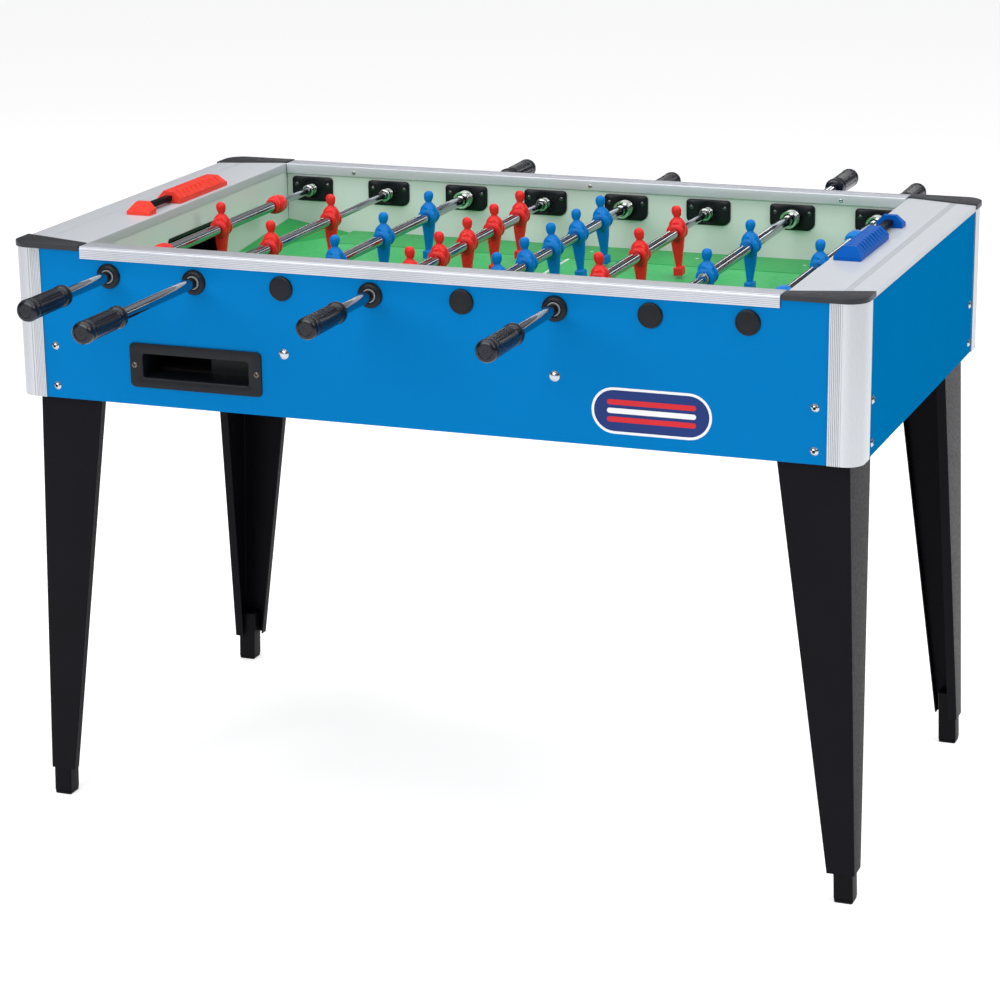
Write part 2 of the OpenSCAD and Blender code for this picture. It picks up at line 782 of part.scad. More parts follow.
// row of counters on one bar, pushed against the bracket on the given side
module counters(end, stack_side) {
    first_y = stack_side * (scorer_l / 2 - bracket_l - 0.4 - counter_pitch / 2);
    for (k = [0:counter_count - 1])
        translate([end * scorer_x, first_y - stack_side * k * counter_pitch, end_plate_top + 0.3])
            rotate([90, 0, 0]) difference() {
                translate([0, 0, -counter_l / 2]) linear_extrude(counter_l) scorer_profile();
                translate([-bar_w / 2 - 0.4, bar_z - end_plate_top - 0.7, -counter_l])
                    cube([bar_w + 0.8, bar_h + 0.8, 2 * counter_l]);
            }
}

module red_counters() {
    color(team_red) counters(-1, 1);
}

module blue_counters() {
    color(team_blue) counters(1, -1);
}

// ---- fasteners -----------------------------------------------------------------------------

// domed screw: head on the plane, shank into the material along -Z
module domed_screw(r, head_h, shank_r, shank_l) {
    sphere_r = (r * r + head_h * head_h) / (2 * head_h);
    intersection() {
        translate([0, 0, head_h - sphere_r]) sphere(sphere_r);
        cylinder(r = r, h = head_h + 1);
    }
    translate([0, 0, -shank_l]) cylinder(r = shank_r, h = shank_l + 0.2);
}

module fasteners() {
    color(chrome) {
        four_corners() for (z = corner_screw_z) {
            translate([corner_screw_x, half_w, z]) rotate([-90, 0, 0])
                domed_screw(panel_screw_r, 3.5, 3, panel_t + screw_reach);
            translate([half_l, corner_screw_y, z]) rotate([0, 90, 0])
                domed_screw(panel_screw_r, 3.5, 3, end_t + screw_reach);
        }
        four_corners() translate([coach_bolt_x, half_w, coach_bolt_z]) rotate([-90, 0, 0])
            domed_screw(bolt_r, 3, 3, panel_t + 10);
        for (i = [0:7], face = [-1, 1], s = [-1, 1])
            translate([rod_x(i) + s * 29.5, face * plate_face_y, rod_z + 8])
                rotate([90 * face, 0, 0]) domed_screw(plate_screw_r, 1.5, 1.5, 15);
        for (s = [-1, 1]) translate([cup_x + s * (cup_w / 2 - 8), -half_w - 3, cup_z])
            rotate([90, 0, 0]) domed_screw(4.5, 1.2, 2, 15);
        four_corners() for (p = cap_screws) translate([p[0], p[1], cap_top])
            domed_screw(cap_screw_r, 0.6, 1.5, 12);
    }
}

// ---- nodes ---------------------------------------------------------------------------------

front_panel();
rear_panel();
left_panel();
right_panel();
inner_walls();
playfield();
playfield_ramps();
return_base();
side_rails();
end_plates();
corner_posts();
corner_caps();
goal_frames();
ball_cup();
legs();
feet();
bearing_plates();
outer_bushings();
blank_caps();
buffer_springs();
fasteners();
scorer_bars();
red_scorer_brackets();
blue_scorer_brackets();
red_counters();
blue_counters();
for (i = [0:7]) {
    inner_rod(i);
    tube(i);
    figure_group(i);
    handle(i);
}
for (i = goal_rods) {
    bumpers(i);
}
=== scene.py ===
"""Table-football table: materials, detail pieces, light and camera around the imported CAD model."""

import json
import math

import bmesh
import bpy
from mathutils import Matrix, Vector


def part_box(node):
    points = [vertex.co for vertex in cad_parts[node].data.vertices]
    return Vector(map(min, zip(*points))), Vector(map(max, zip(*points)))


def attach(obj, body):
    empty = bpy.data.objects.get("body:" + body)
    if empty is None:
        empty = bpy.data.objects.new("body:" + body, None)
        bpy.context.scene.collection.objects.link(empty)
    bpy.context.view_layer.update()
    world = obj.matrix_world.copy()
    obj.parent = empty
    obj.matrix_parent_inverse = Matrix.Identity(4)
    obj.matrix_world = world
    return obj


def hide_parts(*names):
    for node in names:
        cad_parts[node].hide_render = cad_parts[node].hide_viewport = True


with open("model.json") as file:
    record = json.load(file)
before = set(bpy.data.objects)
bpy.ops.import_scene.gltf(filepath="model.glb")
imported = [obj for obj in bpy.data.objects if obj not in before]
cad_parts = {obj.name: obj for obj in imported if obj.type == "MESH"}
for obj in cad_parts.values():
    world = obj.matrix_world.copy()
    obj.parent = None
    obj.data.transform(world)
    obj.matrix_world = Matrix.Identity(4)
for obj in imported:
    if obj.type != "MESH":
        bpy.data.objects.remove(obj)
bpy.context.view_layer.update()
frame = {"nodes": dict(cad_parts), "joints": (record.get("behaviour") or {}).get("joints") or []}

MM = 0.001
SCENE = bpy.context.scene


# ---- rods, read from the joints ----


def read_rods():
    """One record per rod: its name, team, axis position and the side its handle is on."""
    rods = []
    for joint in frame["joints"]:
        if joint["type"] != "hinge":
            continue
        name = joint["name"].removesuffix("_spin")
        low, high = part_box(name + "_handle")
        figures = sorted_figures(name)
        rods.append({
            "name": name,
            "team": name.split("_")[0],
            "x": joint["pos_m"][0],
            "z": joint["pos_m"][2],
            "side": 1 if low.y > 0 else -1,
            "collar_y": min(abs(low.y), abs(high.y)),
            "figures": figures,
        })
    return rods


def sorted_figures(name):
    """Middle of each figure of a rod along Y, found from the gaps in the CAD node."""
    ys = sorted({round(v.co.y, 4) for v in frame["nodes"][name + "_figures"].data.vertices})
    groups = [[ys[0]]]
    for y in ys[1:]:
        if y - groups[-1][-1] > 30 * MM:
            groups.append([])
        groups[-1].append(y)
    return [(g[0] + g[-1]) / 2 for g in groups]


RODS = read_rods()
ROD_Z = RODS[0]["z"]
FIELD_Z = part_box("playfield")[1].z
TUBE_R = 9 * MM
INNER_ROD_R = 6 * MM


# ---- mesh helpers ----


def made_mesh(name, bm):
    """Mesh of a finished bmesh, which is freed."""
    mesh = bpy.data.meshes.new(name)
    bm.to_mesh(mesh)
    bm.free()
    return mesh


def placed(name, data):
    """New object in the scene."""
    made = bpy.data.objects.new(name, data)
    SCENE.collection.objects.link(made)
    return made


def add_piece(name, bm, material, replaced=(), body="cabinet", sharp=35, bevel=0.0):
    """Turns a bmesh into an object that rides on a CAD body."""
    bmesh.ops.recalc_face_normals(bm, faces=bm.faces)
    mesh = made_mesh(name, bm)
    mesh.shade_smooth()
    mesh.set_sharp_from_angle(angle=math.radians(sharp))
    mesh.materials.append(material)
    piece = placed(name, mesh)
    if bevel > 0:
        modifier = piece.modifiers.new("edges", "BEVEL")
        modifier.width = bevel
        modifier.segments = 2
        modifier.limit_method = "ANGLE"
        modifier.angle_limit = math.radians(40)
        modifier.harden_normals = True
    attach(piece, body)
    if replaced:
        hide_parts(*replaced)


def upright(u, v, w):
    """Place of an outline that lies flat and rises along Z."""
    return Vector((u, v, w))


def extrude(bm, outline, start, end, place=upright):
    """Prism of a 2D outline between two distances; place maps (u, v, distance) to a point."""
    rings = [[bm.verts.new(place(u, v, w)) for u, v in outline] for w in (start, end)]
    count = len(outline)
    for k in range(count):
        m = (k + 1) % count
        bm.faces.new((rings[0][k], rings[0][m], rings[1][m], rings[1][k]))
    bm.faces.new(rings[0][::-1])
    bm.faces.new(rings[1])


def loft(bm, rings, closed_ends=True):
    """Skin over rings of points with equal counts."""
    made = [[bm.verts.new(p) for p in ring] for ring in rings]
    for a, b in zip(made, made[1:]):
        count = len(a)
        for k in range(count):
            m = (k + 1) % count
            bm.faces.new((a[k], a[m], b[m], b[k]))
    if closed_ends:
        bm.faces.new(made[0][::-1])
        bm.faces.new(made[-1])


def turn(bm, profile, origin, direction, segments=48, radius_at=None):
    """Surface of revolution. profile is (radius, distance along direction) points; radius_at can
    change the radius by (radius, distance, angle)."""
    axis = Vector(direction).normalized()
    side = axis.orthogonal().normalized()
    up = axis.cross(side)
    rings = []
    for radius, along in profile:
        centre = Vector(origin) + axis * along
        if radius < 1e-7:
            rings.append([bm.verts.new(centre)])
            continue
        ring = []
        for k in range(segments):
            angle = 2 * math.pi * k / segments
            r = radius_at(radius, along, angle) if radius_at else radius
            ring.append(bm.verts.new(centre + (side * math.cos(angle) + up * math.sin(angle)) * r))
        rings.append(ring)
    for a, b in zip(rings, rings[1:]):
        join_rings(bm, a, b)


def join_rings(bm, a, b):
    """Faces between two rings, either of which may be a single point."""
    count = max(len(a), len(b))
    for k in range(count):
        m = (k + 1) % count
        if len(a) == 1:
            bm.faces.new((a[0], b[m], b[k]))
        elif len(b) == 1:
            bm.faces.new((a[k], a[m], b[0]))
        else:
            bm.faces.new((a[k], a[m], b[m], b[k]))


def add_box(bm, low, high):
    """Box between two corners."""
    outline = [(low[0], low[1]), (high[0], low[1]), (high[0], high[1]), (low[0], high[1])]
    extrude(bm, outline, low[2], high[2])


def mirrored(bm, x=False, y=False):
    """Adds copies of everything in the bmesh, mirrored through X = 0 and through Y = 0."""
    for use, scale in ((x, (-1, 1, 1)), (y, (1, -1, 1))):
        if not use:
            continue
        copy = bmesh.ops.duplicate(bm, geom=bm.verts[:] + bm.edges[:] + bm.faces[:])
        verts = [g for g in copy["geom"] if isinstance(g, bmesh.types.BMVert)]
        faces = [g for g in copy["geom"] if isinstance(g, bmesh.types.BMFace)]
        bmesh.ops.scale(bm, vec=scale, verts=verts)
        bmesh.ops.reverse_faces(bm, faces=faces)


def arc(cx, cy, r, start, end, steps=8):
    """Points on an arc, angles in degrees."""
    return [(cx + r * math.cos(math.radians(start + (end - start) * k / steps)),
             cy + r * math.sin(math.radians(start + (end - start) * k / steps)))
            for k in range(steps + 1)]


def mm(*points):
    """Points given in millimetres, in metres."""
    return [(u * MM, v * MM) for u, v in points]


def rounded_rectangle(w, h, r, steps=6):
    """Outline round the origin."""
    points = []
    for sx, sy, start in ((-1, -1, 180), (1, -1, 270), (1, 1, 0), (-1, 1, 90)):
        points += arc(sx * (w / 2 - r), sy * (h / 2 - r), r, start, start + 90, steps)
    return points


# ---- material helpers ----


class Paint:
    """A node material with short calls for the nodes that the materials below share."""

    def __init__(self, name):
        self.material = bpy.data.materials.new(name)
        self.material.use_nodes = True
        self.nodes = self.material.node_tree.nodes
        self.links = self.material.node_tree.links
        self.shader = self.nodes["Principled BSDF"]
        self.place = self.nodes.new("ShaderNodeTexCoord").outputs["Object"]

    def feed(self, socket, value):
        """Links an output to a socket, or sets the socket to a value."""
        if isinstance(value, bpy.types.NodeSocket):
            self.links.new(value, socket)
        else:
            socket.default_value = value

    def fill(self, node, inputs):
        """Feeds the inputs that the keys name; an underscore stands for a space."""
        for key, value in inputs.items():
            self.feed(node.inputs[key.replace("_", " ")], value)
        return node

    def add(self, kind, **inputs):
        return self.fill(self.nodes.new("ShaderNode" + kind), inputs)

    def set(self, **inputs):
        self.fill(self.shader, inputs)

    def link(self, source, socket):
        self.links.new(source, self.shader.inputs[socket])

    def scaled(self, scale):
        return self.add("Mapping", Vector=self.place, Scale=scale).outputs["Vector"]

    def noise(self, scale, detail=3.0, stretch=(1, 1, 1), roughness=0.5):
        return self.add("TexNoise", Vector=self.scaled(stretch), Scale=scale, Detail=detail,
                        Roughness=roughness).outputs["Fac"]

    def remap(self, value, low, high, from_low=0.3, from_high=0.7):
        return self.add("MapRange", Value=value, From_Min=from_low, From_Max=from_high,
                        To_Min=low, To_Max=high).outputs["Result"]

    def mix(self, factor, a, b):
        """Mix of two colours, each an output or an (r, g, b) tuple."""
        node = self.nodes.new("ShaderNodeMix")
        node.data_type = "RGBA"
        self.feed(node.inputs["Factor"], factor)
        for index, colour in ((6, a), (7, b)):
            self.feed(node.inputs[index], (*colour, 1.0) if isinstance(colour, tuple) else colour)
        return node.outputs[2]

    def math(self, operation, a, b=0.0):
        node = self.nodes.new("ShaderNodeMath")
        node.operation = operation
        self.feed(node.inputs[0], a)
        self.feed(node.inputs[1], b)
        return node.outputs["Value"]

    def axis(self, index):
        return self.add("SeparateXYZ", Vector=self.place).outputs[index]

    def bump(self, height, strength, distance=0.0005, rounded=0.0):
        """Bump from a height, over edges rounded by a bevel if rounded is above 0."""
        node = self.add("Bump", Strength=strength, Distance=distance, Height=height)
        if rounded > 0:
            bevel = self.add("Bevel", Radius=rounded)
            bevel.samples = 4
            self.feed(node.inputs["Normal"], bevel.outputs["Normal"])
        self.link(node.outputs["Normal"], "Normal")

    def convex_edges(self, amount_at=0.56):
        """Mask of convex edges, from the mesh's pointiness."""
        geometry = self.nodes.new("ShaderNodeNewGeometry")
        return self.remap(geometry.outputs["Pointiness"], 0.0, 1.0, 0.51, amount_at)


def laminate(name, colour, shade, roughness=0.42, specular=0.2, painted_shade_within=0.0):
    """Melamine laminate with fine orange peel and faint cloudiness; a reach given as the last argument
    blackens what is nearer than that to the middle of the table along X, which is an end panel's
    inner face: painted shade for the dark inside of the goal mouths."""
    paint = Paint(name)
    tone = paint.mix(paint.remap(paint.noise(9.0, 4.0), 0.0, 1.0), colour, shade)
    if painted_shade_within > 0:
        # painted shade: the end panels' inner faces go black, standing in for the dark inside of the
        # goal mouths
        inside = paint.math("LESS_THAN", paint.math("ABSOLUTE", paint.axis(0)), painted_shade_within)
        tone = paint.mix(inside, tone, (0.006, 0.006, 0.008))
    paint.link(tone, "Base Color")
    paint.link(paint.remap(paint.noise(60.0, 3.0), roughness - 0.02, roughness + 0.03), "Roughness")
    paint.set(IOR=1.45, Specular_IOR_Level=specular)
    paint.bump(paint.noise(900.0, 2.0), 0.05, 0.0001, rounded=0.0008)
    return paint.material


def moulded(name, colour, shade, roughness=0.3, grain=900.0, specular=0.3, bump=0.06):
    """Moulded plastic: slight colour drift, fine grain and a soft scatter of gloss."""
    paint = Paint(name)
    cloud = paint.noise(45.0, 3.0)
    # convex edges are mixed towards a lighter tone
    edges = paint.convex_edges()
    base = paint.mix(paint.remap(cloud, 0.0, 1.0), colour, shade)
    lighter = tuple(min(c * 1.2 + 0.002, 1.0) for c in colour)
    paint.link(paint.mix(paint.math("MULTIPLY", edges, 0.5), base, lighter), "Base Color")
    paint.link(paint.remap(paint.noise(140.0, 4.0), roughness - 0.02, roughness + 0.03), "Roughness")
    paint.set(IOR=1.49, Specular_IOR_Level=specular)
    paint.bump(paint.noise(grain, 2.0), bump, 0.0001, rounded=0.0005)
    return paint.material


def brushed_metal(name, colour, along, grooves, roughness=0.34, metallic=0.45):
    """Brushed, anodised metal with hairlines along one axis. grooves is (axis, surface, reach):
    what lies just below the surface on that axis, within reach of the middle along X, darkens,
    as painted shade in the bottoms of the V-grooves."""
    paint = Paint(name)
    stretch = [3200.0, 3200.0, 3200.0]
    stretch[along] = 12.0
    lines = paint.noise(1.0, 3.0, tuple(stretch), 0.5)
    cloud = paint.noise(6.0, 2.0)
    dark = tuple(c * 0.97 for c in colour)
    tone = paint.mix(paint.remap(lines, 0.0, 1.0), dark, colour)
    tone = paint.mix(paint.remap(cloud, 0.0, 0.3), tone, dark)
    # painted shade: what lies 0.25 to 1 mm below the surface, the bottoms of the V-grooves, is darkened
    # to stand in for the shade that falls in them
    axis, surface, reach = grooves
    below = paint.math("SUBTRACT", surface, paint.math("ABSOLUTE", paint.axis(axis)))
    inside = paint.math("MULTIPLY", paint.math("GREATER_THAN", below, 0.25 * MM),
                        paint.math("LESS_THAN", below, 1.0 * MM))
    near = paint.math("LESS_THAN", paint.math("ABSOLUTE", paint.axis(0)), reach)
    painted_groove_shade = paint.math("MULTIPLY", inside, near)
    paint.link(paint.mix(painted_groove_shade, tone, tuple(c * 0.75 for c in colour)), "Base Color")
    paint.link(paint.remap(lines, roughness - 0.02, roughness + 0.03), "Roughness")
    paint.set(Metallic=metallic)
    paint.bump(lines, 0.02, 0.00005)
    return paint.material


def plated(name, colour, roughness=0.07):
    """Polished chrome with faint polishing marks and dulled patches."""
    paint = Paint(name)
    smear = paint.noise(40.0, 4.0, (1.0, 0.15, 1.0))
    dull = tuple(c * 0.9 for c in colour)
    paint.link(paint.mix(paint.remap(smear, 0.0, 1.0), colour, dull), "Base Color")
    paint.link(paint.remap(smear, roughness - 0.03, roughness + 0.07), "Roughness")
    paint.set(Metallic=1.0)
    paint.bump(paint.noise(1.0, 2.0, (1500.0, 20.0, 1500.0)), 0.03, 0.0001)
    return paint.material


def powder_coat(name, colour, shade):
    """Satin powder-coated steel with its fine orange peel."""
    paint = Paint(name)
    cloud = paint.noise(12.0, 4.0)
    # convex edges are mixed towards a lighter tone
    edges = paint.convex_edges(0.6)
    base = paint.mix(paint.remap(cloud, 0.0, 1.0), colour, shade)
    edge_tone = tuple(c * 2.0 + 0.006 for c in colour)
    paint.link(paint.mix(paint.math("MULTIPLY", edges, 0.35), base, edge_tone), "Base Color")
    paint.link(paint.remap(paint.noise(200.0, 3.0), 0.34, 0.48), "Roughness")
    paint.set(IOR=1.5, Specular_IOR_Level=0.05)
    paint.bump(paint.noise(700.0, 2.0), 0.1, 0.0001, rounded=0.0008)
    return paint.material


def fibreboard(name):
    """Board with short fibres, darkened nearly to black: painted shade for the return trough seen
    through the ball cup's mouth.
    """
    paint = Paint(name)
    fibres = paint.noise(300.0, 5.0, (1.0, 0.4, 1.0), 0.7)
    paint.link(paint.mix(paint.remap(fibres, 0.0, 1.0), (0.005, 0.004, 0.004), (0.012, 0.01, 0.009)),
               "Base Color")
    paint.set(Roughness=0.8, Specular_IOR_Level=0.1)
    paint.bump(fibres, 0.3, 0.0004)
    return paint.material


def field_print(name, colour, shade):
    """Printed playfield: green with a white line across its middle."""
    paint = Paint(name)
    across = paint.math("ABSOLUTE", paint.axis(0))
    line = paint.math("LESS_THAN", across, 2.5 * MM)
    cloud = paint.noise(7.0, 3.0)
    green = paint.mix(paint.remap(cloud, 0.0, 1.0), colour, shade)
    paint.link(paint.mix(line, green, (0.72, 0.78, 0.74)), "Base Color")
    paint.link(paint.remap(paint.noise(90.0, 3.0), 0.3, 0.42), "Roughness")
    paint.set(Specular_IOR_Level=0.3)
    paint.bump(paint.noise(900.0, 2.0), 0.05, 0.0001, rounded=0.0006)
    return paint.material


# ---- materials ----

BLUE = laminate("blue_laminate", (0.0, 0.158, 0.43), (0.0, 0.154, 0.418), 0.45, 0.03)
# painted shade: a darker copy of the blue laminate for the end panels, which stand side-on to the front
# light; their inner faces are blackened as painted shade too
END_BLUE_SHADED = laminate("end_laminate", (0.0, 0.15, 0.38), (0.0, 0.146, 0.37), 0.5, 0.0,
                    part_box("right_panel")[0].x + 0.5 * MM)
PALE = laminate("pale_laminate", (0.7, 0.75, 0.73), (0.67, 0.72, 0.7), 0.35)
GREEN = field_print("playfield_print", (0.045, 0.47, 0.13), (0.04, 0.44, 0.12))
GREEN_RAMP = laminate("playfield_ramp", (0.022, 0.36, 0.08), (0.02, 0.34, 0.074), 0.32, 0.3)
# painted shade: the return base is near black so the inside of the ball cup's mouth reads dark
SHADED_BOARD = fibreboard("board")
ALUMINIUM_X = brushed_metal("aluminium_rail", (0.56, 0.58, 0.63), 0,
                            (1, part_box("side_rails")[1].y, 1.0))
# painted light: the end covers' aluminium is a lighter tone than the rails', making up for less light
# reaching their tops
ALUMINIUM_Y_LIT = brushed_metal("aluminium_end", (0.62, 0.65, 0.69), 1,
                            (2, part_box("end_plates")[1].z, 0.66), 0.4, 0.3)
ALUMINIUM_Z = brushed_metal("aluminium_post", (0.52, 0.54, 0.57), 2,
                            (1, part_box("corner_posts")[1].y, 0.648), 0.28, 0.85)
CHROME = plated("chrome", (0.42, 0.44, 0.47), 0.05)
SPRING = plated("spring_steel", (0.56, 0.6, 0.56), 0.12)
SCREW = plated("screw_plating", (0.5, 0.52, 0.54), 0.16)
PLATE_SCREW = plated("screw_steel", (0.16, 0.16, 0.16), 0.2)
DARK_SCREW = plated("screw_blackened", (0.14, 0.11, 0.09), 0.3)
BLACK_STEEL = powder_coat("black_steel", (0.003, 0.0025, 0.004), (0.004, 0.0035, 0.006))
BLACK = moulded("black_plastic", (0.004, 0.005, 0.008), (0.006, 0.008, 0.011), 0.34, specular=0.2)
FOOT_BLACK = moulded("foot_plastic", (0.002, 0.002, 0.003), (0.003, 0.003, 0.005), 0.45,
                     specular=0.08)
CAP_BLACK = moulded("cap_plastic", (0.018, 0.02, 0.024), (0.023, 0.025, 0.03), 0.42, 1400.0, 0.3)
HANDLE = moulded("handle_plastic", (0.003, 0.005, 0.01), (0.005, 0.007, 0.013), 0.22, specular=0.35,
                 bump=0.02)
GREY = moulded("grey_bush", (0.26, 0.28, 0.3), (0.31, 0.33, 0.35), 0.4)
RED = moulded("red_plastic", (0.78, 0.02, 0.018), (0.72, 0.018, 0.016), 0.28, 500.0, 0.25, 0.03)
TEAM_BLUE = moulded("blue_plastic", (0.0, 0.18, 0.58), (0.0, 0.165, 0.54), 0.28, 500.0, 0.15, 0.03)
SCORER = {
    "red": moulded("red_counter", (0.84, 0.045, 0.025), (0.78, 0.04, 0.022), 0.3, 700.0, 0.25),
    "blue": moulded("blue_counter", (0.0, 0.085, 0.4), (0.0, 0.075, 0.35), 0.34, 700.0, 0.05),
}
SOCKET = moulded("socket_shadow", (0.006, 0.006, 0.008), (0.009, 0.009, 0.011), 0.5)
WHITE_SCREW = moulded("strip_screw", (0.55, 0.62, 0.56), (0.6, 0.66, 0.6), 0.4)
TEAM = {"red": RED, "blue": TEAM_BLUE}

KEPT_NODES = {
    "front_panel": BLUE,
    "rear_panel": BLUE,
    "left_panel": END_BLUE_SHADED,
    "right_panel": END_BLUE_SHADED,
    "inner_walls": PALE,
    "playfield": GREEN,
    "playfield_ramps": GREEN_RAMP,
    "return_base": SHADED_BOARD,
    "goal_frames": BLACK,
    "scorer_bars": BLACK_STEEL,
}


def paint_node(node, material):
    """Gives a CAD node that stays visible its material."""
    slots = frame["nodes"][node].data.materials
    slots.clear()
    slots.append(material)


def paint_kept_nodes():
    for node, material in KEPT_NODES.items():
        paint_node(node, material)
    for rod in RODS:
        paint_node(rod["name"] + "_tube", CHROME)
        paint_node(rod["name"] + "_inner_rod", CHROME)


# ---- aluminium trim ----

RAIL_LEG_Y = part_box("inner_walls")[1].y - 11 * MM  # face of a side rail's inner leg


def ridged(start, end, normal, pitch, depth):
    """Points of a straight outline edge with shallow V-grooves at the given pitch."""
    start, end, normal = Vector(start), Vector(end), Vector(normal)
    length = (end - start).length
    along = (end - start).normalized()
    count = int(length / pitch)
    margin = (length - count * pitch) / 2
    points = [start]
    for k in range(count):
        s = margin + k * pitch
        for offset, dip in ((0.2, 0.0), (0.5, depth), (0.8, 0.0)):
            points.append(start + along * (s + offset * pitch) - normal * dip)
    points.append(end)
    return [(p.x, p.y) for p in points]


def side_rails():
    """Rail along each long side: fine ridges on its outer lip, rounded top edges, inner leg."""
    low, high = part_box("side_rails")
    out_y, top, bottom = high.y, high.z, low.z
    in_y = RAIL_LEG_Y
    wall, edge = 2 * MM, 3 * MM
    outline = ridged((out_y, bottom), (out_y, top - edge), (1, 0), 2.7 * MM, 0.5 * MM)
    outline += arc(out_y - edge, top - edge, edge, 0, 90, 5)
    outline += arc(in_y + 1.5 * MM, top - 1.5 * MM, 1.5 * MM, 90, 180, 4)
    outline += [(in_y, bottom + 2 * MM), (in_y + wall, bottom + 2 * MM), (in_y + wall, top - edge),
                (out_y - edge, top - edge), (out_y - edge, bottom)]
    bm = bmesh.new()
    extrude(bm, outline, low.x, high.x, lambda u, v, w: Vector((w, u, v)))
    mirrored(bm, y=True)
    add_piece("rails", bm, ALUMINIUM_X, ["side_rails"], sharp=25)


def end_plates():
    """Cover plate over each end: grooved sheet with a deep inner lip and a shorter outer one."""
    low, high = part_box("end_plates")
    in_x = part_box("goal_frames")[1].x - 17 * MM
    out_x, top, bottom = high.x, high.z, low.z
    sheet, lip_y, lip_z = 2 * MM, high.y - 27 * MM, bottom + 5.5 * MM
    outline = [(in_x, bottom)]
    outline += arc(in_x + 1.5 * MM, top - 1.5 * MM, 1.5 * MM, 180, 90, 4)
    outline += ridged((in_x + 74 * MM, top), (in_x + 88 * MM, top), (0, 1), 2.8 * MM, 0.9 * MM)
    outline += arc(out_x - 1.5 * MM, top - 1.5 * MM, 1.5 * MM, 90, 0, 4)
    outline += [(out_x, top - sheet), (in_x + MM, top - sheet), (in_x + MM, bottom)]
    lip = ridged((out_x, lip_z), (out_x, top - sheet), (1, 0), 2.6 * MM, 0.7 * MM)
    lip += [(out_x - sheet, top - sheet), (out_x - sheet, lip_z)]
    bm = bmesh.new()
    for section, end_y in ((outline, high.y), (lip, lip_y)):
        extrude(bm, section, -end_y, end_y, lambda u, v, w: Vector((u, w, v)))
    mirrored(bm, x=True)
    add_piece("end_covers", bm, ALUMINIUM_Y_LIT, ["end_plates"], sharp=25)


def corner_posts():
    """Rounded aluminium corner: ridged flange on the long side, plain flange on the end."""
    low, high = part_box("corner_posts")
    skin, radius, seam = 2 * MM, 28 * MM, 0.8 * MM
    cx, cy = high.x - radius, high.y - radius
    front_x, side_y = cx - 21 * MM, cy - 27 * MM
    outline = ridged((front_x, high.y), (cx - 3 * MM, high.y), (0, 1), 2.7 * MM, 0.6 * MM)
    outline += [(cx - 2.4 * MM, high.y), (cx - 2.2 * MM, high.y - seam),
                (cx - MM, high.y - seam), (cx - 0.8 * MM, high.y)]
    outline += arc(cx, cy, radius, 90, 0, 16)
    outline += [(high.x, cy - 2 * MM), (high.x - seam, cy - 2.2 * MM),
                (high.x - seam, cy - 3.4 * MM), (high.x, cy - 3.6 * MM), (high.x, side_y),
                (high.x - skin, side_y)]
    outline += arc(cx, cy, radius - skin, 0, 90, 16)
    outline += [(front_x, high.y - skin)]
    bm = bmesh.new()
    extrude(bm, outline, low.z, high.z)
    mirrored(bm, x=True, y=True)
    add_piece("posts", bm, ALUMINIUM_Z, ["corner_posts"], sharp=25)


# ---- corner caps ----


def cap_outline(low, high, inset):
    """Plan of the cap over the corner at +X +Y, its sides pulled in by inset."""
    radius = 32 * MM
    in_x = low.x + inset
    tip_y, side_y = high.y - 29 * MM + inset, high.y - 64 * MM + inset
    outline = [(in_x, tip_y), (high.x - inset, side_y)]
    outline += arc(high.x - radius, high.y - radius, radius - inset, 0, 90, 12)
    outline += [(in_x, high.y - inset)]
    return outline


def corner_caps():
    low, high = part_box("corner_caps")
    low = Vector((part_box("side_rails")[1].x + 2 * MM, low.y, low.z))
    plate_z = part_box("end_plates")[1].z
    soft = 0.8 * MM
    bm = bmesh.new()
    levels = [(plate_z, 0), (high.z - soft, 0), (high.z - soft * 0.3, soft * 0.3), (high.z, soft)]
    loft(bm, [[Vector((x, y, z)) for x, y in cap_outline(low, high, inset)]
              for z, inset in levels])
    # skirt along the two outer sides
    outer = cap_outline(low, high, 0)[1:]
    inner = cap_outline(low, high, 1.6 * MM)[1:]
    inner[0] = (inner[0][0], outer[0][1])
    inner[-1] = (outer[-1][0], inner[-1][1])
    band = outer + inner[::-1]
    extrude(bm, band, low.z, plate_z)
    mirrored(bm, x=True, y=True)
    add_piece("caps", bm, CAP_BLACK, ["corner_caps"], sharp=30)


# ---- legs and feet ----


def leg_section(inner_x, fold_x, face_y, side_y, z):
    """Outline of the folded sheet at one height, for the leg at +X +Y."""
    sheet, radius, lip = 2.5 * MM, 4 * MM, 15 * MM
    outer = [(inner_x, face_y - lip), (inner_x, face_y - MM), (inner_x + MM, face_y)]
    outer += arc(fold_x - radius, face_y - radius, radius, 90, 0, 6)
    outer += [(fold_x, side_y + MM), (fold_x - MM, side_y), (fold_x - lip, side_y)]
    inner = [(fold_x - lip, side_y + sheet), (fold_x - sheet, side_y + sheet)]
    inner += arc(fold_x - radius, face_y - radius, radius - sheet, 0, 90, 6)
    inner += [(inner_x + sheet, face_y - sheet), (inner_x + sheet, face_y - lip)]
    return [Vector((x, y, z)) for x, y in outer + inner]


def legs():
    low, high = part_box("legs")
    bottom_z, top_z = low.z, high.z
    node = frame["nodes"]["legs"].data.vertices
    corner = [v.co for v in node if v.co.x > 0 and v.co.y > 0]

    def reach(z, key, pick):
        return pick(getattr(c, key) for c in corner if abs(c.z - z) < 3 * MM)

    sections = [leg_section(reach(z, "x", min), reach(z, "x", max), high.y,
                            reach(z, "y", min), z) for z in (bottom_z, top_z)]
    bm = bmesh.new()
    loft(bm, sections)
    mirrored(bm, x=True, y=True)
    add_piece("folded_legs", bm, BLACK_STEEL, ["legs"], sharp=30)


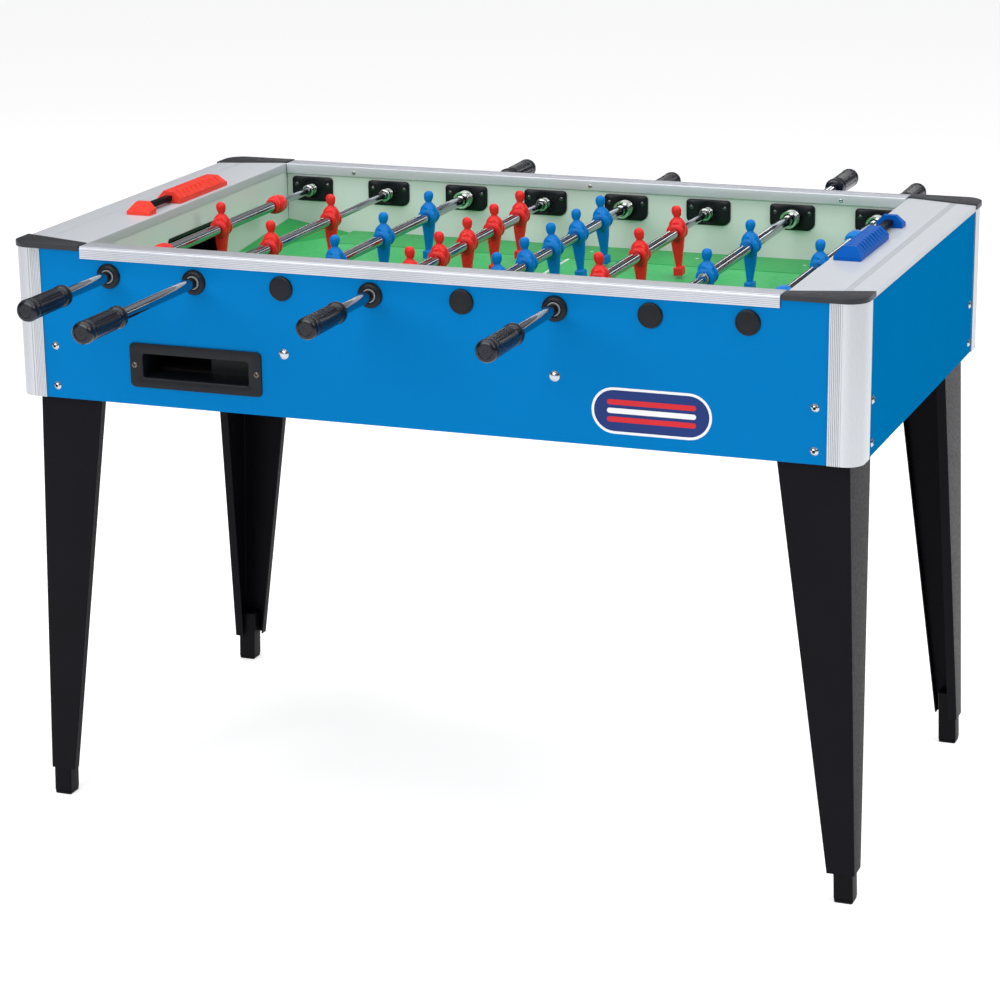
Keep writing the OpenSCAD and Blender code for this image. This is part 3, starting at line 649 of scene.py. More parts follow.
def feet():
    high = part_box("feet")[1]
    pad_h, side = 6 * MM, 30 * MM
    node = frame["nodes"]["feet"].data.vertices
    corner = [v.co for v in node if v.co.x > 0 and v.co.y > 0]
    levels = sorted({round(c.z, 4) for c in corner})
    top_z = levels[-1]
    base_z = min(z for z in levels if z > pad_h / 2)
    middle_y = high.y - side / 2

    def centre_x(z):
        return max(c.x for c in corner if abs(c.z - z) < MM / 2) - side / 2

    bm = bmesh.new()
    square = rounded_rectangle(side, side, 3 * MM)
    loft(bm, [[Vector((centre_x(z) + u, middle_y + v, z)) for u, v in square]
              for z in (base_z, top_z)])
    x = centre_x(base_z)
    for z0, z1, shrink in ((base_z - 1.2 * MM, base_z - 0.1 * MM, 3 * MM),
                           (0.0, base_z - 1.2 * MM, 1.0 * MM)):
        pad = rounded_rectangle(side - shrink, side - shrink, 3 * MM)
        small = rounded_rectangle(side - shrink - 2 * MM, side - shrink - 2 * MM, 2 * MM)
        loft(bm, [[Vector((x + u, middle_y + v, z0)) for u, v in small],
                  [Vector((x + u, middle_y + v, z0 + 0.25 * (z1 - z0))) for u, v in pad],
                  [Vector((x + u, middle_y + v, z1)) for u, v in pad]])
    mirrored(bm, x=True, y=True)
    add_piece("foot_tubes", bm, FOOT_BLACK, ["feet"], sharp=40)


# ---- hardware in the walls ----

PLATE_T = 4 * MM
PLATE_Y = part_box("playfield")[1].y - PLATE_T  # the bearing plates' face towards the field


def plate_reach(angle, half_w, half_h, top_r, low_r):
    """Distance from the centre to the edge of a bearing plate at an angle in its plane."""
    c, s = math.cos(angle), math.sin(angle)
    reach = min(half_w / abs(c) if abs(c) > 1e-9 else 1e9,
                half_h / abs(s) if abs(s) > 1e-9 else 1e9)
    r = top_r if s > 0 else low_r
    cx, cy = half_w - r, half_h - r
    px, py = abs(c) * reach, abs(s) * reach
    if px > cx and py > cy:
        b = abs(c) * cx + abs(s) * cy
        reach = b + math.sqrt(max(b * b - (cx * cx + cy * cy - r * r), 0.0))
    return reach


def bearing_plate(bm, x, face, back_y, hole_r):
    """Moulded plate with a recessed ring of ribs round its hole; face is the side it looks to."""
    half_w, half_h, thick = 38.5 * MM, 21.5 * MM, 4 * MM
    fan_r, recess = 17 * MM, 2.2 * MM
    steps = 96
    rings = []

    def ring(scale_in, depth, radius=None):
        points = []
        for k in range(steps):
            angle = 2 * math.pi * k / steps
            r = radius or plate_reach(angle, half_w, half_h, 6 * MM, 14 * MM) - scale_in
            points.append(Vector((x + r * math.cos(angle), back_y - face * depth,
                                  ROD_Z + r * math.sin(angle))))
        rings.append(points)

    ring(0, 0)
    ring(0, thick - MM)
    ring(0.3 * MM, thick - 0.3 * MM)
    ring(MM, thick)
    ring(0, thick, fan_r + 0.8 * MM)
    ring(0, thick - 0.3 * MM, fan_r)
    ring(0, thick - recess, fan_r)
    ring(0, thick - recess, hole_r + 2.2 * MM)
    ring(0, thick - 0.4 * MM, hole_r + 2.2 * MM)
    ring(0, thick - 0.4 * MM, hole_r)
    ring(0, 0, hole_r)
    loft(bm, rings, closed_ends=False)
    rib_count = 12
    for k in range(rib_count):
        angle = 2 * math.pi * (k + 0.5) / rib_count
        turn_rib = Matrix.Rotation(-angle, 4, "Y")
        low = Vector((hole_r + 2 * MM, 0, -0.6 * MM))
        high = Vector((fan_r + 0.2 * MM, 0, 0.6 * MM))
        corners = [(low.x, low.z), (high.x, low.z), (high.x, high.z), (low.x, high.z)]
        extrude(bm, corners, thick - recess - 0.2 * MM, thick - 0.6 * MM,
                lambda u, v, w, m=turn_rib: Vector((x, back_y, ROD_Z))
                + m @ Vector((u, 0, v)) + Vector((0, -face * w, 0)))


def bearing_plates():
    wall_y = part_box("playfield")[1].y
    bm = bmesh.new()
    for rod in RODS:
        for face in (-1, 1):
            carries_rod = face != rod["side"]
            hole = INNER_ROD_R + 0.05 * MM if carries_rod else TUBE_R + 2 * MM
            bearing_plate(bm, rod["x"], face, face * wall_y, hole)
    add_piece("wall_plates", bm, BLACK, ["bearing_plates"], sharp=40)


def outer_bushings():
    """Black flange round each sliding tube, with a thin grey liner showing in its mouth."""
    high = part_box("outer_bushings")[1]
    wall_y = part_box("front_panel")[0].y
    bore = TUBE_R + 0.05 * MM
    flange = high.y + wall_y
    black, grey = bmesh.new(), bmesh.new()
    for rod in RODS:
        origin = (rod["x"], rod["side"] * -wall_y, ROD_Z)
        out = (0, rod["side"], 0)
        turn(black, [(bore + 1.5 * MM, 0), (19.5 * MM, 0), (19.5 * MM, 2.6 * MM),
                     (19.2 * MM, 3.8 * MM), (18.3 * MM, 5.0 * MM), (16.6 * MM, 6.0 * MM),
                     (14.6 * MM, flange - 0.3 * MM), (12.6 * MM, flange - 0.3 * MM),
                     (11.6 * MM, flange - 1.2 * MM), (bore + 1.5 * MM, flange - 1.4 * MM),
                     (bore + 1.5 * MM, 0)],
             origin, out, 64)
        turn(grey, [(bore, -20 * MM), (bore, flange - 0.8 * MM), (bore + 0.3 * MM, flange - 0.5 * MM),
                    (bore + 1.1 * MM, flange - 0.5 * MM), (bore + 1.45 * MM, flange - 0.9 * MM),
                    (bore + 1.45 * MM, -20 * MM), (bore, -20 * MM)],
             origin, out, 64)
    add_piece("outer_rings", black, BLACK, ["outer_bushings"])
    add_piece("bush_liners", grey, GREY)


def blank_caps():
    wall_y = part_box("front_panel")[0].y
    bm = bmesh.new()
    for rod in RODS:
        origin = (rod["x"], rod["side"] * wall_y, ROD_Z)
        turn(bm, mm((14.8, -3), (14.8, 0), (19, 0), (19, 2.2), (18.6, 3.3), (17.6, 3.9), (16.2, 4.0),
                    (15.6, 3.4), (14.9, 3.4), (10, 3.7), (5, 3.85), (0, 3.9)),
             origin, (0, -rod["side"], 0), 64)
    add_piece("blank_discs", bm, BLACK, ["blank_caps"])


def coil(bm, x, face, start_y, length, radius, wire, turns):
    """Compression spring round a rod, with its end turns closed."""
    per_turn, around = 28, 8
    count = int(turns * per_turn)
    rings = []
    for k in range(count + 1):
        t = k / count
        angle = 2 * math.pi * turns * t
        eased = t + math.sin(2 * math.pi * t) / (2 * math.pi) * -0.35
        y = start_y - face * (wire + (length - 2 * wire) * eased)
        centre = Vector((x + radius * math.cos(angle), y, ROD_Z + radius * math.sin(angle)))
        out = Vector((math.cos(angle), 0, math.sin(angle)))
        ring = [centre + out * wire * math.cos(2 * math.pi * m / around)
                + Vector((0, wire * math.sin(2 * math.pi * m / around), 0)) for m in range(around)]
        rings.append(ring)
    loft(bm, rings)


def buffer_springs():
    bm = bmesh.new()
    for rod in RODS:
        side = rod["side"]
        coil(bm, rod["x"], side, side * PLATE_Y, 24 * MM, 12.7 * MM, 1.8 * MM, 4.6)
        turn(bm, mm((10.4, 21.4), (14.2, 21.4), (14.6, 22.0), (14.6, 23.4), (14.1, 24), (10.6, 24),
                    (10.4, 21.4)),
             (rod["x"], side * PLATE_Y, ROD_Z), (0, -side, 0))
        coil(bm, rod["x"], -side, -side * PLATE_Y, 15 * MM, 8.7 * MM, 1.4 * MM, 4.6)
        turn(bm, mm((6.6, 12.5), (9.2, 12.5), (10.3, 14.2), (10.5, 18.6), (9.8, 19.7), (8.2, 20),
                    (7.6, 19.2), (6.6, 19), (6.6, 12.5)),
             (rod["x"], -side * PLATE_Y, ROD_Z), (0, side, 0))
    add_piece("springs", bm, SPRING, ["buffer_springs"], sharp=50)


# ---- fasteners ----


def domed_head(head, socket, origin, out, radius, height, socket_r=0.0):
    """Domed screw head with a hexagon socket, or a plain dome when socket_r is 0."""
    ball = (radius * radius + height * height) / (2 * height)
    profile = [(radius, -0.2 * MM), (radius, 0.3 * MM)]
    steps = 6
    first = math.asin(min(radius / ball, 1.0))
    last = math.asin(socket_r / ball) if socket_r else 0.0
    for k in range(1, steps + 1):
        a = first + (last - first) * k / steps
        profile.append((ball * math.sin(a), height - ball + ball * math.cos(a)))
    if socket_r:
        profile.append((socket_r * 0.92, height - 0.4 * MM))
    turn(head, profile, origin, out, 32)
    if socket_r:
        floor = height * 0.3
        turn(socket, [(socket_r * 0.95, height - 0.35 * MM), (socket_r * 0.8, floor), (0, floor)],
             origin, out, 6)


CORNERS = ((-1, -1), (-1, 1), (1, -1), (1, 1))
LEG_SCREW_X, LEG_SCREW_Y, LEG_SCREW_Z = 0.611, 0.323, (0.7065, 0.7705)
TRAY_SCREW_X, TRAY_SCREW_Z = 0.218, 0.7865
CAP_SCREWS = ((0.662, 0.352), (0.617, 0.385))


def corner_screws():
    """(position, outward direction) of the panel screws, in the four corners."""
    panel_y, panel_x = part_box("rear_panel")[1].y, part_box("right_panel")[1].x
    found = []
    for sx, sy in CORNERS:
        for z in LEG_SCREW_Z:
            found.append(((sx * LEG_SCREW_X, sy * panel_y, z), (0, sy, 0)))
            found.append(((sx * panel_x, sy * LEG_SCREW_Y, z), (sx, 0, 0)))
    return found


def fasteners():
    head, plate_head, dark_head, socket = (bmesh.new() for _ in range(4))
    panel_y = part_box("rear_panel")[1].y
    for origin, out in corner_screws():
        domed_head(head, socket, origin, out, 6.5 * MM, 3.5 * MM, 2.6 * MM)
    for sx, sy in CORNERS:
        domed_head(head, socket, (sx * TRAY_SCREW_X, sy * panel_y, TRAY_SCREW_Z), (0, sy, 0),
                   8 * MM, 3.2 * MM)
    for rod in RODS:
        for face in (-1, 1):
            for s in (-1, 1):
                domed_head(plate_head, socket,
                           (rod["x"] + s * 29.5 * MM, face * PLATE_Y, ROD_Z + 8 * MM),
                           (0, -face, 0), 3.5 * MM, 1.6 * MM, 1.3 * MM)
    low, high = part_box("ball_cup")
    for x in (low.x + 8 * MM, high.x - 8 * MM):
        domed_head(dark_head, socket, (x, low.y, (low.z + high.z) / 2), (0, -1, 0),
                   4.5 * MM, 1.6 * MM, 1.9 * MM)
    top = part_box("corner_caps")[1].z
    for sx, sy in CORNERS:
        for x, y in CAP_SCREWS:
            domed_head(dark_head, socket, (sx * x, sy * y, top), (0, 0, 1), 3 * MM, 0.8 * MM,
                       1.3 * MM)
    add_piece("screw_heads", head, SCREW, ["fasteners"], sharp=50)
    add_piece("plate_screw_heads", plate_head, PLATE_SCREW, sharp=50)
    add_piece("dark_screw_heads", dark_head, DARK_SCREW, sharp=50)
    add_piece("screw_sockets", socket, SOCKET, sharp=20)


FLAT_HEAD = mm((3.4, -0.5), (3.4, 0.2), (2.9, 0.35), (0.9, 0.35), (0.6, 0.1), (0, 0.1))


def strip_screws():
    """Small pale countersunk screws along the sloping strips beside the playfield."""
    inner_y, outer_y, rise = 281 * MM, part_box("playfield")[1].y, 5 * MM
    y = 334 * MM
    z = FIELD_Z + rise * (y - inner_y) / (outer_y - inner_y)
    middle_x, pitch = 23 * MM, 187 * MM
    bm = bmesh.new()
    for k in range(-2, 3):
        turn(bm, FLAT_HEAD, (middle_x + k * pitch, y, z), (0, 0, 1), 24)
    mirrored(bm, y=True)
    add_piece("strip_screw_heads", bm, WHITE_SCREW, sharp=40)


def rail_screws():
    """Small countersunk screws through the inner leg of each side rail."""
    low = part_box("side_rails")[0]
    middle_x, pitch = 10 * MM, 439 * MM
    bm = bmesh.new()
    for k in (-1, 0, 1):
        turn(bm, FLAT_HEAD, (middle_x + k * pitch, RAIL_LEG_Y, low.z + 8 * MM), (0, -1, 0), 24)
    mirrored(bm, y=True)
    add_piece("rail_screw_heads", bm, SCREW, sharp=40)


# ---- ball return cup ----


def ball_cup():
    low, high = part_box("ball_cup")
    panel_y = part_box("front_panel")[0].y
    cx, cz = (low.x + high.x) / 2, (low.z + high.z) / 2
    w, h = high.x - low.x, high.z - low.z
    mouth_w, mouth_h = 180 * MM, 37 * MM
    back_y = high.y - 3 * MM
    front_y = low.y
    bm = bmesh.new()

    def ring(width, height, radius, y, shift=0.0):
        return [Vector((cx + u, y, cz + v + shift))
                for u, v in rounded_rectangle(width, height, radius, 8)]

    # face plate, chamfered mouth and the walls of the recess
    loft(bm, [
        ring(w, h, 8 * MM, panel_y),
        ring(w, h, 8 * MM, front_y + 0.8 * MM),
        ring(w - 0.5 * MM, h - 0.5 * MM, 7.8 * MM, front_y + 0.25 * MM),
        ring(w - 2 * MM, h - 2 * MM, 7 * MM, front_y),
        ring(mouth_w + 3 * MM, mouth_h + 3 * MM, 5.5 * MM, front_y),
        ring(mouth_w + MM, mouth_h + MM, 4.5 * MM, front_y + 0.6 * MM),
        ring(mouth_w, mouth_h, 4 * MM, front_y + 2 * MM),
        ring(mouth_w, mouth_h, 4 * MM, back_y - 3 * MM),
        ring(mouth_w + 5 * MM, mouth_h + 5 * MM, 6 * MM, back_y - 3 * MM),
        ring(mouth_w + 5 * MM, mouth_h + 5 * MM, 6 * MM, panel_y),
    ], closed_ends=False)
    # back of the recess, open on its left half
    add_box(bm, (cx + 2 * MM, back_y - 3.2 * MM, cz - mouth_h / 2 - MM),
            (cx + mouth_w / 2 + MM, back_y, cz + mouth_h / 2 + MM))
    # blank raised panel above the mouth
    add_box(bm, (cx - 48 * MM, front_y + 0.01 * MM, cz + mouth_h / 2 + 5 * MM),
            (cx + 48 * MM, front_y + 0.5 * MM, cz + mouth_h / 2 + 12 * MM))
    add_piece("return_cup", bm, BLACK, ["ball_cup"], sharp=40)


# ---- scorers ----


def scorer_outline(w, top, inset=0.0, notch=0.0):
    """Cross-section of a counter; notch pulls in its slopes."""
    half = w / 2
    return [(-half + inset, inset), (half - inset, inset), (half - inset, 8 * MM),
            (half - 11 * MM - inset - notch, top - inset), (-half + 11 * MM + inset + notch,
                                                             top - inset), (-half + inset, 8 * MM)]


def counters(node, material, body):
    """Row of counters: each has sloping shoulders with a tapered notch between neighbours."""
    low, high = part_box(node)
    cx, w, top = (low.x + high.x) / 2, high.x - low.x, high.z - low.z
    count = 10
    pitch = (high.y - low.y + 0.2 * MM) / count
    bm = bmesh.new()
    for k in range(count):
        start = low.y + k * pitch
        end = start + pitch - 0.2 * MM
        sections = [(start, 0.5 * MM, 0.0), (start + 0.5 * MM, 0.0, 0.0),
                    (start + 0.62 * pitch, 0.0, 0.0), (start + 0.7 * pitch, 0.0, 3.2 * MM),
                    (end - 1.2 * MM, 0.0, 3.2 * MM), (end - 0.6 * MM, 0.0, 0.0),
                    (end, 0.5 * MM, 0.0)]
        loft(bm, [[Vector((cx + u, y, low.z + v)) for u, v in scorer_outline(w, top, inset, notch)]
                  for y, inset, notch in sections])
    add_piece(node + "_row", bm, material, [node], body, sharp=30, bevel=0.3 * MM)


def scorer_brackets(node, material):
    """The two end blocks, bevelled at their outer ends."""
    low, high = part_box(node)
    cx, w, top = (low.x + high.x) / 2, high.x - low.x, high.z - low.z
    length = 24 * MM
    slope = 13 * MM
    bm = bmesh.new()
    for sy in (-1, 1):
        outer = sy * high.y
        stations = [(outer, 6 * MM), (outer - sy * slope, top), (outer - sy * length, top)]
        rings = []
        for y, z_top in stations:
            half = w / 2
            shoulder = min(8 * MM, z_top)
            pull = 11 * MM * max(z_top - 8 * MM, 0) / (top - 8 * MM)
            outline = [(-half, 0), (half, 0), (half, shoulder), (half - pull, z_top),
                       (-half + pull, z_top), (-half, shoulder)]
            rings.append([Vector((cx + u, y, low.z + v)) for u, v in outline])
        loft(bm, rings)
    add_piece(node + "_ends", bm, material, [node], sharp=30, bevel=0.6 * MM)


# ---- rods: tube ends, handles, bumpers and figures ----


def tube_ends():
    """Grey bush pressed into the open end of each sliding tube."""
    for rod in RODS:
        low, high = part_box(rod["name"] + "_tube")
        end = low.y if rod["side"] > 0 else high.y
        bm = bmesh.new()
        turn(bm, [(TUBE_R - 0.1 * MM, 1.5 * MM), (TUBE_R - 0.1 * MM, 0.3 * MM),
                  (TUBE_R - 0.5 * MM, -0.1 * MM), (INNER_ROD_R + 0.6 * MM, -0.1 * MM),
                  (INNER_ROD_R + 0.1 * MM, 0.3 * MM), (INNER_ROD_R + 0.1 * MM, 1.5 * MM)],
             (rod["x"], end, ROD_Z), (0, rod["side"], 0))
        add_piece(rod["name"] + "_end_bush", bm, GREY, body=rod["name"] + "_rod")


def handle_profile(end):
    """(radius, distance) points from the collar to the end of a grip, in millimetres."""
    return [(9.05, 0), (12.5, 0), (15.0, 1.0), (16.4, 3.4), (17.0, 7.0), (16.8, 11.0),
            (15.9, 14.6), (14.6, 16.8), (14.1, 18.2), (14.2, 19.4), (15.0, 21.2), (15.6, 24.0),
            (15.9, 26.0), (15.9, 27.5), (16.2, 60.0), (16.4, end - 24), (16.5, end - 22.5),
            (16.5, end - 19), (16.2, end - 17.6), (15.7, end - 17.0), (15.7, end - 16.2),
            (16.3, end - 15.4),
            (16.9, end - 12.0), (16.9, end - 8.0), (16.2, end - 4.0), (14.6, end - 1.6),
            (12.2, end - 0.4), (11.0, end), (10.4, end), (10.0, end - 0.8), (9.4, end - 1.2),
            (4.0, end - 1.2), (3.6, end - 0.9), (2.6, end - 0.9), (2.2, end - 1.4), (0, end - 1.4)]


def grip_radius(radius, along, angle):
    """Eight thin slots along the grip."""
    start, end, slots = 27 * MM, 94 * MM, 8
    if not start <= along <= end:
        return radius
    across = abs((angle * slots / (2 * math.pi)) % 1 - 0.5) * 2
    return radius - (1.1 * MM if across > 0.88 else 0.3 * MM if across > 0.8 else 0.0)


def handles():
    for rod in RODS:
        low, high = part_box(rod["name"] + "_handle")
        profile = mm(*handle_profile((high.y - low.y) / MM))
        bm = bmesh.new()
        turn(bm, profile, (rod["x"], rod["side"] * rod["collar_y"], ROD_Z), (0, rod["side"], 0),
             160, grip_radius)
        add_piece(rod["name"] + "_grip", bm, HANDLE, [rod["name"] + "_handle"],
                  rod["name"] + "_rod", sharp=28)


BUMPER_PROFILE = mm((9.02, 0), (11.0, 0), (12.2, 0.5), (12.8, 1.8), (12.9, 5.6), (12.6, 6.6),
                    (13.0, 7.2), (14.2, 8.4), (15.2, 11.0), (15.6, 15.0), (15.6, 25.0),
                    (15.2, 30.0), (14.4, 34.4), (13.2, 36.6), (11.4, 37.8), (10.0, 38.0),
                    (9.02, 38.0))


def bumpers():
    """Collared stops at both ends of a goal rod's travel."""
    for rod in RODS:
        node = rod["name"] + "_bumpers"
        if node not in frame["nodes"]:
            continue
        near_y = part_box(node)[1].y - BUMPER_PROFILE[-1][1]
        bm = bmesh.new()
        for sy in (-1, 1):
            turn(bm, BUMPER_PROFILE, (rod["x"], sy * near_y, ROD_Z), (0, sy, 0), 56)
        add_piece(rod["name"] + "_stops", bm, TEAM[rod["team"]],
                  [node], rod["name"] + "_rod", sharp=50)


def superellipse(cx, hx, hy, power, z, count=40):
    """Ring of points of a rounded section."""
    points = []
    for k in range(count):
        a = 2 * math.pi * k / count
        c, s = math.cos(a), math.sin(a)
        points.append(Vector((cx + hx * math.copysign(abs(c) ** (2 / power), c),
                              hy * math.copysign(abs(s) ** (2 / power), s), z)))
    return points


def figure_mesh(name):
    """One figure, facing +X, with the rod's axis through the origin along Y."""
    bm = bmesh.new()
    # height, middle, half depth, half width, squareness: from ankles to the top of the neck
    body = [(-62, 0.0, 4.6, 6.6, 2.6), (-56, 0.0, 5.0, 7.0, 2.6), (-46, -0.1, 6.4, 8.0, 2.5),
            (-34, -0.2, 8.2, 9.2, 2.4), (-24, -0.2, 9.8, 10.0, 2.3), (-17, 0.0, 10.6, 10.4, 2.3),
            (-10, 0.3, 11.6, 11.0, 2.2), (-3, 0.5, 13.0, 12.0, 2.2), (5, 0.6, 14.2, 12.8, 2.2),
            (11, 0.5, 14.2, 13.0, 2.2), (15.5, 0.4, 12.8, 12.4, 2.1), (19, 0.3, 10.4, 10.8, 2.1),
            (21.8, 0.2, 7.6, 8.4, 2.0), (23.6, 0.2, 5.4, 5.8, 2.0), (25.5, 0.2, 4.6, 4.8, 2.0),
            (29, 0.3, 4.5, 4.6, 2.0)]
    loft(bm, [superellipse(cx * MM, hx * MM, hy * MM, power, z * MM)
              for z, cx, hx, hy, power in body])
    # head: skull, jaw and a small nose
    skull = [(-9.8, 0.0), (-9.2, 3.8), (-7.6, 5.6), (-5, 6.9), (-1.5, 7.7), (2, 7.9), (5, 7.3),
             (7.5, 5.7), (9.2, 3.2), (9.8, 0.0)]
    rings = [superellipse((0.4 - 0.05 * z) * MM, max(r * 1.04, 0.05) * MM, max(r * 0.93, 0.05) * MM,
                          2.1, (33.9 + z) * MM) for z, r in skull]
    loft(bm, rings)
    for (x, z, r) in ((7.2, 33.0, 1.3), (7.0, 35.0, 0.9), (6.6, 27.6, 1.5)):
        bump = bmesh.ops.create_uvsphere(bm, u_segments=12, v_segments=8, radius=r * MM)
        bmesh.ops.translate(bm, vec=Vector((x * MM, 0, z * MM)), verts=bump["verts"])
    # ring round the rod, and an arm along each side of the chest
    turn(bm, mm((0, -15), (10.6, -15), (13.2, -14.2), (14.6, -12), (14.6, -9.6), (13.4, -7.4),
                (13.4, 7.4), (14.6, 9.6), (14.6, 12), (13.2, 14.2), (10.6, 15), (0, 15)),
         (0, 0, 0), (0, 1, 0), 48)
    arm = [(18, 0.0, 4.6), (13, -4.5, 5.4), (7, -9.2, 5.6), (0, -11.2, 5.2), (-6, -9.6, 4.6),
           (-11, -5.4, 4.0), (-14, 0.5, 3.4)]
    for sy in (-1, 1):
        rings = []
        for z, x, r in arm:
            rings.append([p + Vector((0, sy * 9.4 * MM, 0))
                          for p in superellipse(x * MM, r * MM, r * 0.9 * MM, 2.0, z * MM, 16)])
        loft(bm, rings)
    # foot block
    outline = rounded_rectangle(15 * MM, 20 * MM, 1.4 * MM, 3)
    loft(bm, [[Vector((u * s, v * s, z * MM)) for u, v in outline]
              for z, s in ((-71.5, 0.93), (-70.6, 1.0), (-58.5, 1.0), (-57.6, 0.92))])
    bmesh.ops.recalc_face_normals(bm, faces=bm.faces)
    return fused(made_mesh(name + "_rough", bm), name, 0.85 * MM)


def fused(mesh, name, voxel):
    """One skin over overlapping closed shells, slightly smoothed."""
    rough = placed(name + "_rough", mesh)
    remesh = rough.modifiers.new("fuse", "REMESH")
    remesh.mode = "VOXEL"
    remesh.voxel_size = voxel
    remesh.use_smooth_shade = True
    smooth = rough.modifiers.new("relax", "SMOOTH")
    smooth.factor = 0.5
    smooth.iterations = 4
    graph = bpy.context.evaluated_depsgraph_get()
    result = bpy.data.meshes.new_from_object(rough.evaluated_get(graph))
    result.name = name
    bpy.data.objects.remove(rough)
    bpy.data.meshes.remove(mesh)
    return result


def figures():
    shared = figure_mesh("figure")
    for rod in RODS:
        node = rod["name"] + "_figures"
        rest = rest_turn(node, rod)
        facing = 0 if rod["team"] == "red" else math.pi
        mesh = shared.copy()
        mesh.name = node + "_mesh"
        mesh.materials.clear()
        mesh.materials.append(TEAM[rod["team"]])
        mesh.shade_smooth()
        for k, y in enumerate(rod["figures"]):
            piece = placed(f"{rod['name']}_figure_{k + 1}", mesh)
            piece.matrix_world = (Matrix.Translation((rod["x"], y, ROD_Z))
                                  @ Matrix.Rotation(rest, 4, "Y")
                                  @ Matrix.Rotation(facing, 4, "Z"))
            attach(piece, rod["name"] + "_rod")
            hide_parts(node)


def rest_turn(node, rod):
    """Angle at which a rod's figures rest, from where the CAD soles are."""
    soles = [v.co for v in frame["nodes"][node].data.vertices if v.co.z < ROD_Z - 66 * MM]
    middle = (min(c.x for c in soles) + max(c.x for c in soles)) / 2
    return math.atan2(rod["x"] - middle, 66 * MM)


# ---- plain badge ----


def badge():
    """Plain striped badge of the builder's own on the front panel, with no mark or lettering."""
    panel_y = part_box("front_panel")[0].y
    centre = Vector((0.367, panel_y, 0.742))
    white, red, dark = (0.8, 0.8, 0.82), (0.6, 0.02, 0.03), (0.01, 0.03, 0.16)
    plate = rounded_rectangle(184 * MM, 70 * MM, 35 * MM, 8)
    field = rounded_rectangle(176 * MM, 62 * MM, 31 * MM, 8)
    stripe = rounded_rectangle(136 * MM, 8 * MM, 4 * MM, 4)
    shapes = [("badge_rim", white, plate, 0.0, 0.15 * MM), ("badge_field", dark, field, 0.0, 0.25 * MM),
              ("badge_stripe_1", red, stripe, 13 * MM, 0.35 * MM),
              ("badge_stripe_2", white, stripe, 0.0, 0.35 * MM),
              ("badge_stripe_3", red, stripe, -13 * MM, 0.35 * MM)]
    for name, colour, outline, shift, thick in shapes:
        material = laminate(name, colour, tuple(c * 0.9 for c in colour), 0.3)
        bm = bmesh.new()
        extrude(bm, outline, 0.0, thick,
                lambda u, v, w, z=shift: centre + Vector((u, -w, v + z)))
        add_piece(name, bm, material, bevel=0.05 * MM)


# ---- stage, light and camera ----


def stage():
    """Plain pale floor."""
    reach, drop = 30.0, 0.5 * MM
    bm = bmesh.new()
    bm.faces.new([bm.verts.new((sx * reach, sy * reach, -drop))
                  for sx, sy in ((-1, -1), (1, -1), (1, 1), (-1, 1))])
    mesh = made_mesh("floor", bm)
    paint = Paint("floor")
    cloud = paint.noise(0.6, 2.0)
    paint.link(paint.mix(paint.remap(cloud, 0.0, 1.0), (0.82, 0.82, 0.82), (0.81, 0.81, 0.81)),
               "Base Color")
    paint.set(Roughness=0.8, Specular_IOR_Level=0.1, Emission_Color=(1.0, 1.0, 1.0, 1.0),
              Emission_Strength=0.6)
    mesh.materials.append(paint.material)
    placed("floor", mesh)


def area_light(name, place, target, size, power):
    """White rectangular lamp that the camera doesn't see."""
    data = bpy.data.lights.new(name, "AREA")
    data.shape = "RECTANGLE"
    data.size, data.size_y = size
    data.energy = power
    lamp = placed(name, data)
    lamp.location = place
    lamp.rotation_euler = (Vector(target) - Vector(place)).to_track_quat("-Z", "Y").to_euler()
    lamp.visible_camera = False


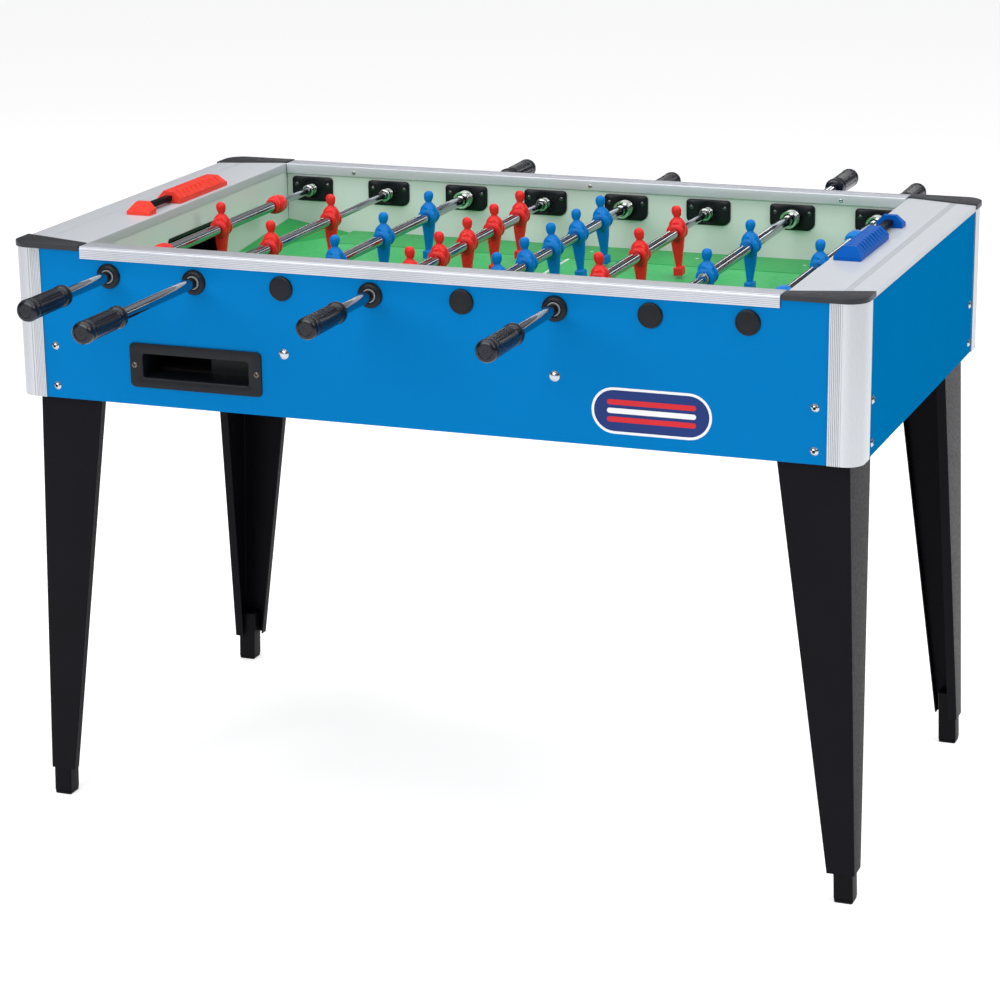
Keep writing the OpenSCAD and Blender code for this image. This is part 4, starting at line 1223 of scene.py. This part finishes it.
def sky():
    """Studio surroundings: pale at the floor, dim at the height of a lamp, pale overhead."""
    world = bpy.data.worlds.new("studio")
    SCENE.world = world
    world.use_nodes = True
    nodes, links = world.node_tree.nodes, world.node_tree.links
    direction = nodes.new("ShaderNodeTexCoord").outputs["Generated"]
    split = nodes.new("ShaderNodeSeparateXYZ")
    links.new(direction, split.inputs["Vector"])
    ramp = nodes.new("ShaderNodeValToRGB")
    links.new(split.outputs["Z"], ramp.inputs["Fac"])
    stops = ramp.color_ramp.elements
    stops[0].position, stops[0].color = 0.0, (0.9, 0.9, 0.9, 1.0)
    stops[1].position, stops[1].color = 1.0, (1.0, 1.0, 1.0, 1.0)
    for position, level in ((0.03, 0.85), (0.08, 0.06), (0.3, 0.05), (0.45, 0.8)):
        stop = stops.new(position)
        stop.color = (level, level, level * 1.02, 1.0)
    background = nodes["Background"]
    links.new(ramp.outputs["Color"], background.inputs["Color"])
    background.inputs["Strength"].default_value = 0.5


def lights():
    area_light("overhead", (0.0, 0.3, 4.2), (0, 0, 0.8), (5.0, 3.0), 95)
    area_light("front", (-1.5, -5.5, 3.2), (0, 0, 0.7), (4.0, 2.5), 185)
    area_light("right", (3.4, -0.8, 3.4), (-0.3, 0, 0.8), (2.0, 2.0), 60)
    area_light("streak", (0.0, 5.5, 2.3), (0, 0, 0.9), (6.0, 0.25), 15)


def camera():
    """Eye at the place and direction of the reference view."""
    data = bpy.data.cameras.new("camera")
    data.sensor_width = 36.0
    data.lens = 106.95
    data.clip_end = 100.0
    eye = placed("camera", data)
    yaw, pitch, roll = (math.radians(a) for a in (21.061, -16.536, -0.718))
    forward = Vector((-math.sin(yaw) * math.cos(pitch), math.cos(yaw) * math.cos(pitch),
                      math.sin(pitch)))
    right = Vector((math.cos(yaw), math.sin(yaw), 0.0))
    up = right.cross(forward)
    x_axis = right * math.cos(roll) + up * math.sin(roll)
    y_axis = up * math.cos(roll) - right * math.sin(roll)
    turn_to = Matrix((x_axis, y_axis, -forward)).transposed()
    eye.matrix_world = Matrix.Translation((1.6588, -4.3653, 1.8520)) @ turn_to.to_4x4()
    SCENE.camera = eye
    SCENE.view_settings.view_transform = "Standard"
    SCENE.view_settings.look = "None"


# ---- build ----

camera()
stage()
sky()
lights()
paint_kept_nodes()
side_rails()
end_plates()
corner_posts()
corner_caps()
legs()
feet()
bearing_plates()
outer_bushings()
blank_caps()
buffer_springs()
fasteners()
strip_screws()
rail_screws()
ball_cup()
for team, material in SCORER.items():
    counters(team + "_counters", material, team + "_score")
for team, material in SCORER.items():
    scorer_brackets(team + "_scorer_brackets", material)
tube_ends()
handles()
bumpers()
figures()
badge()
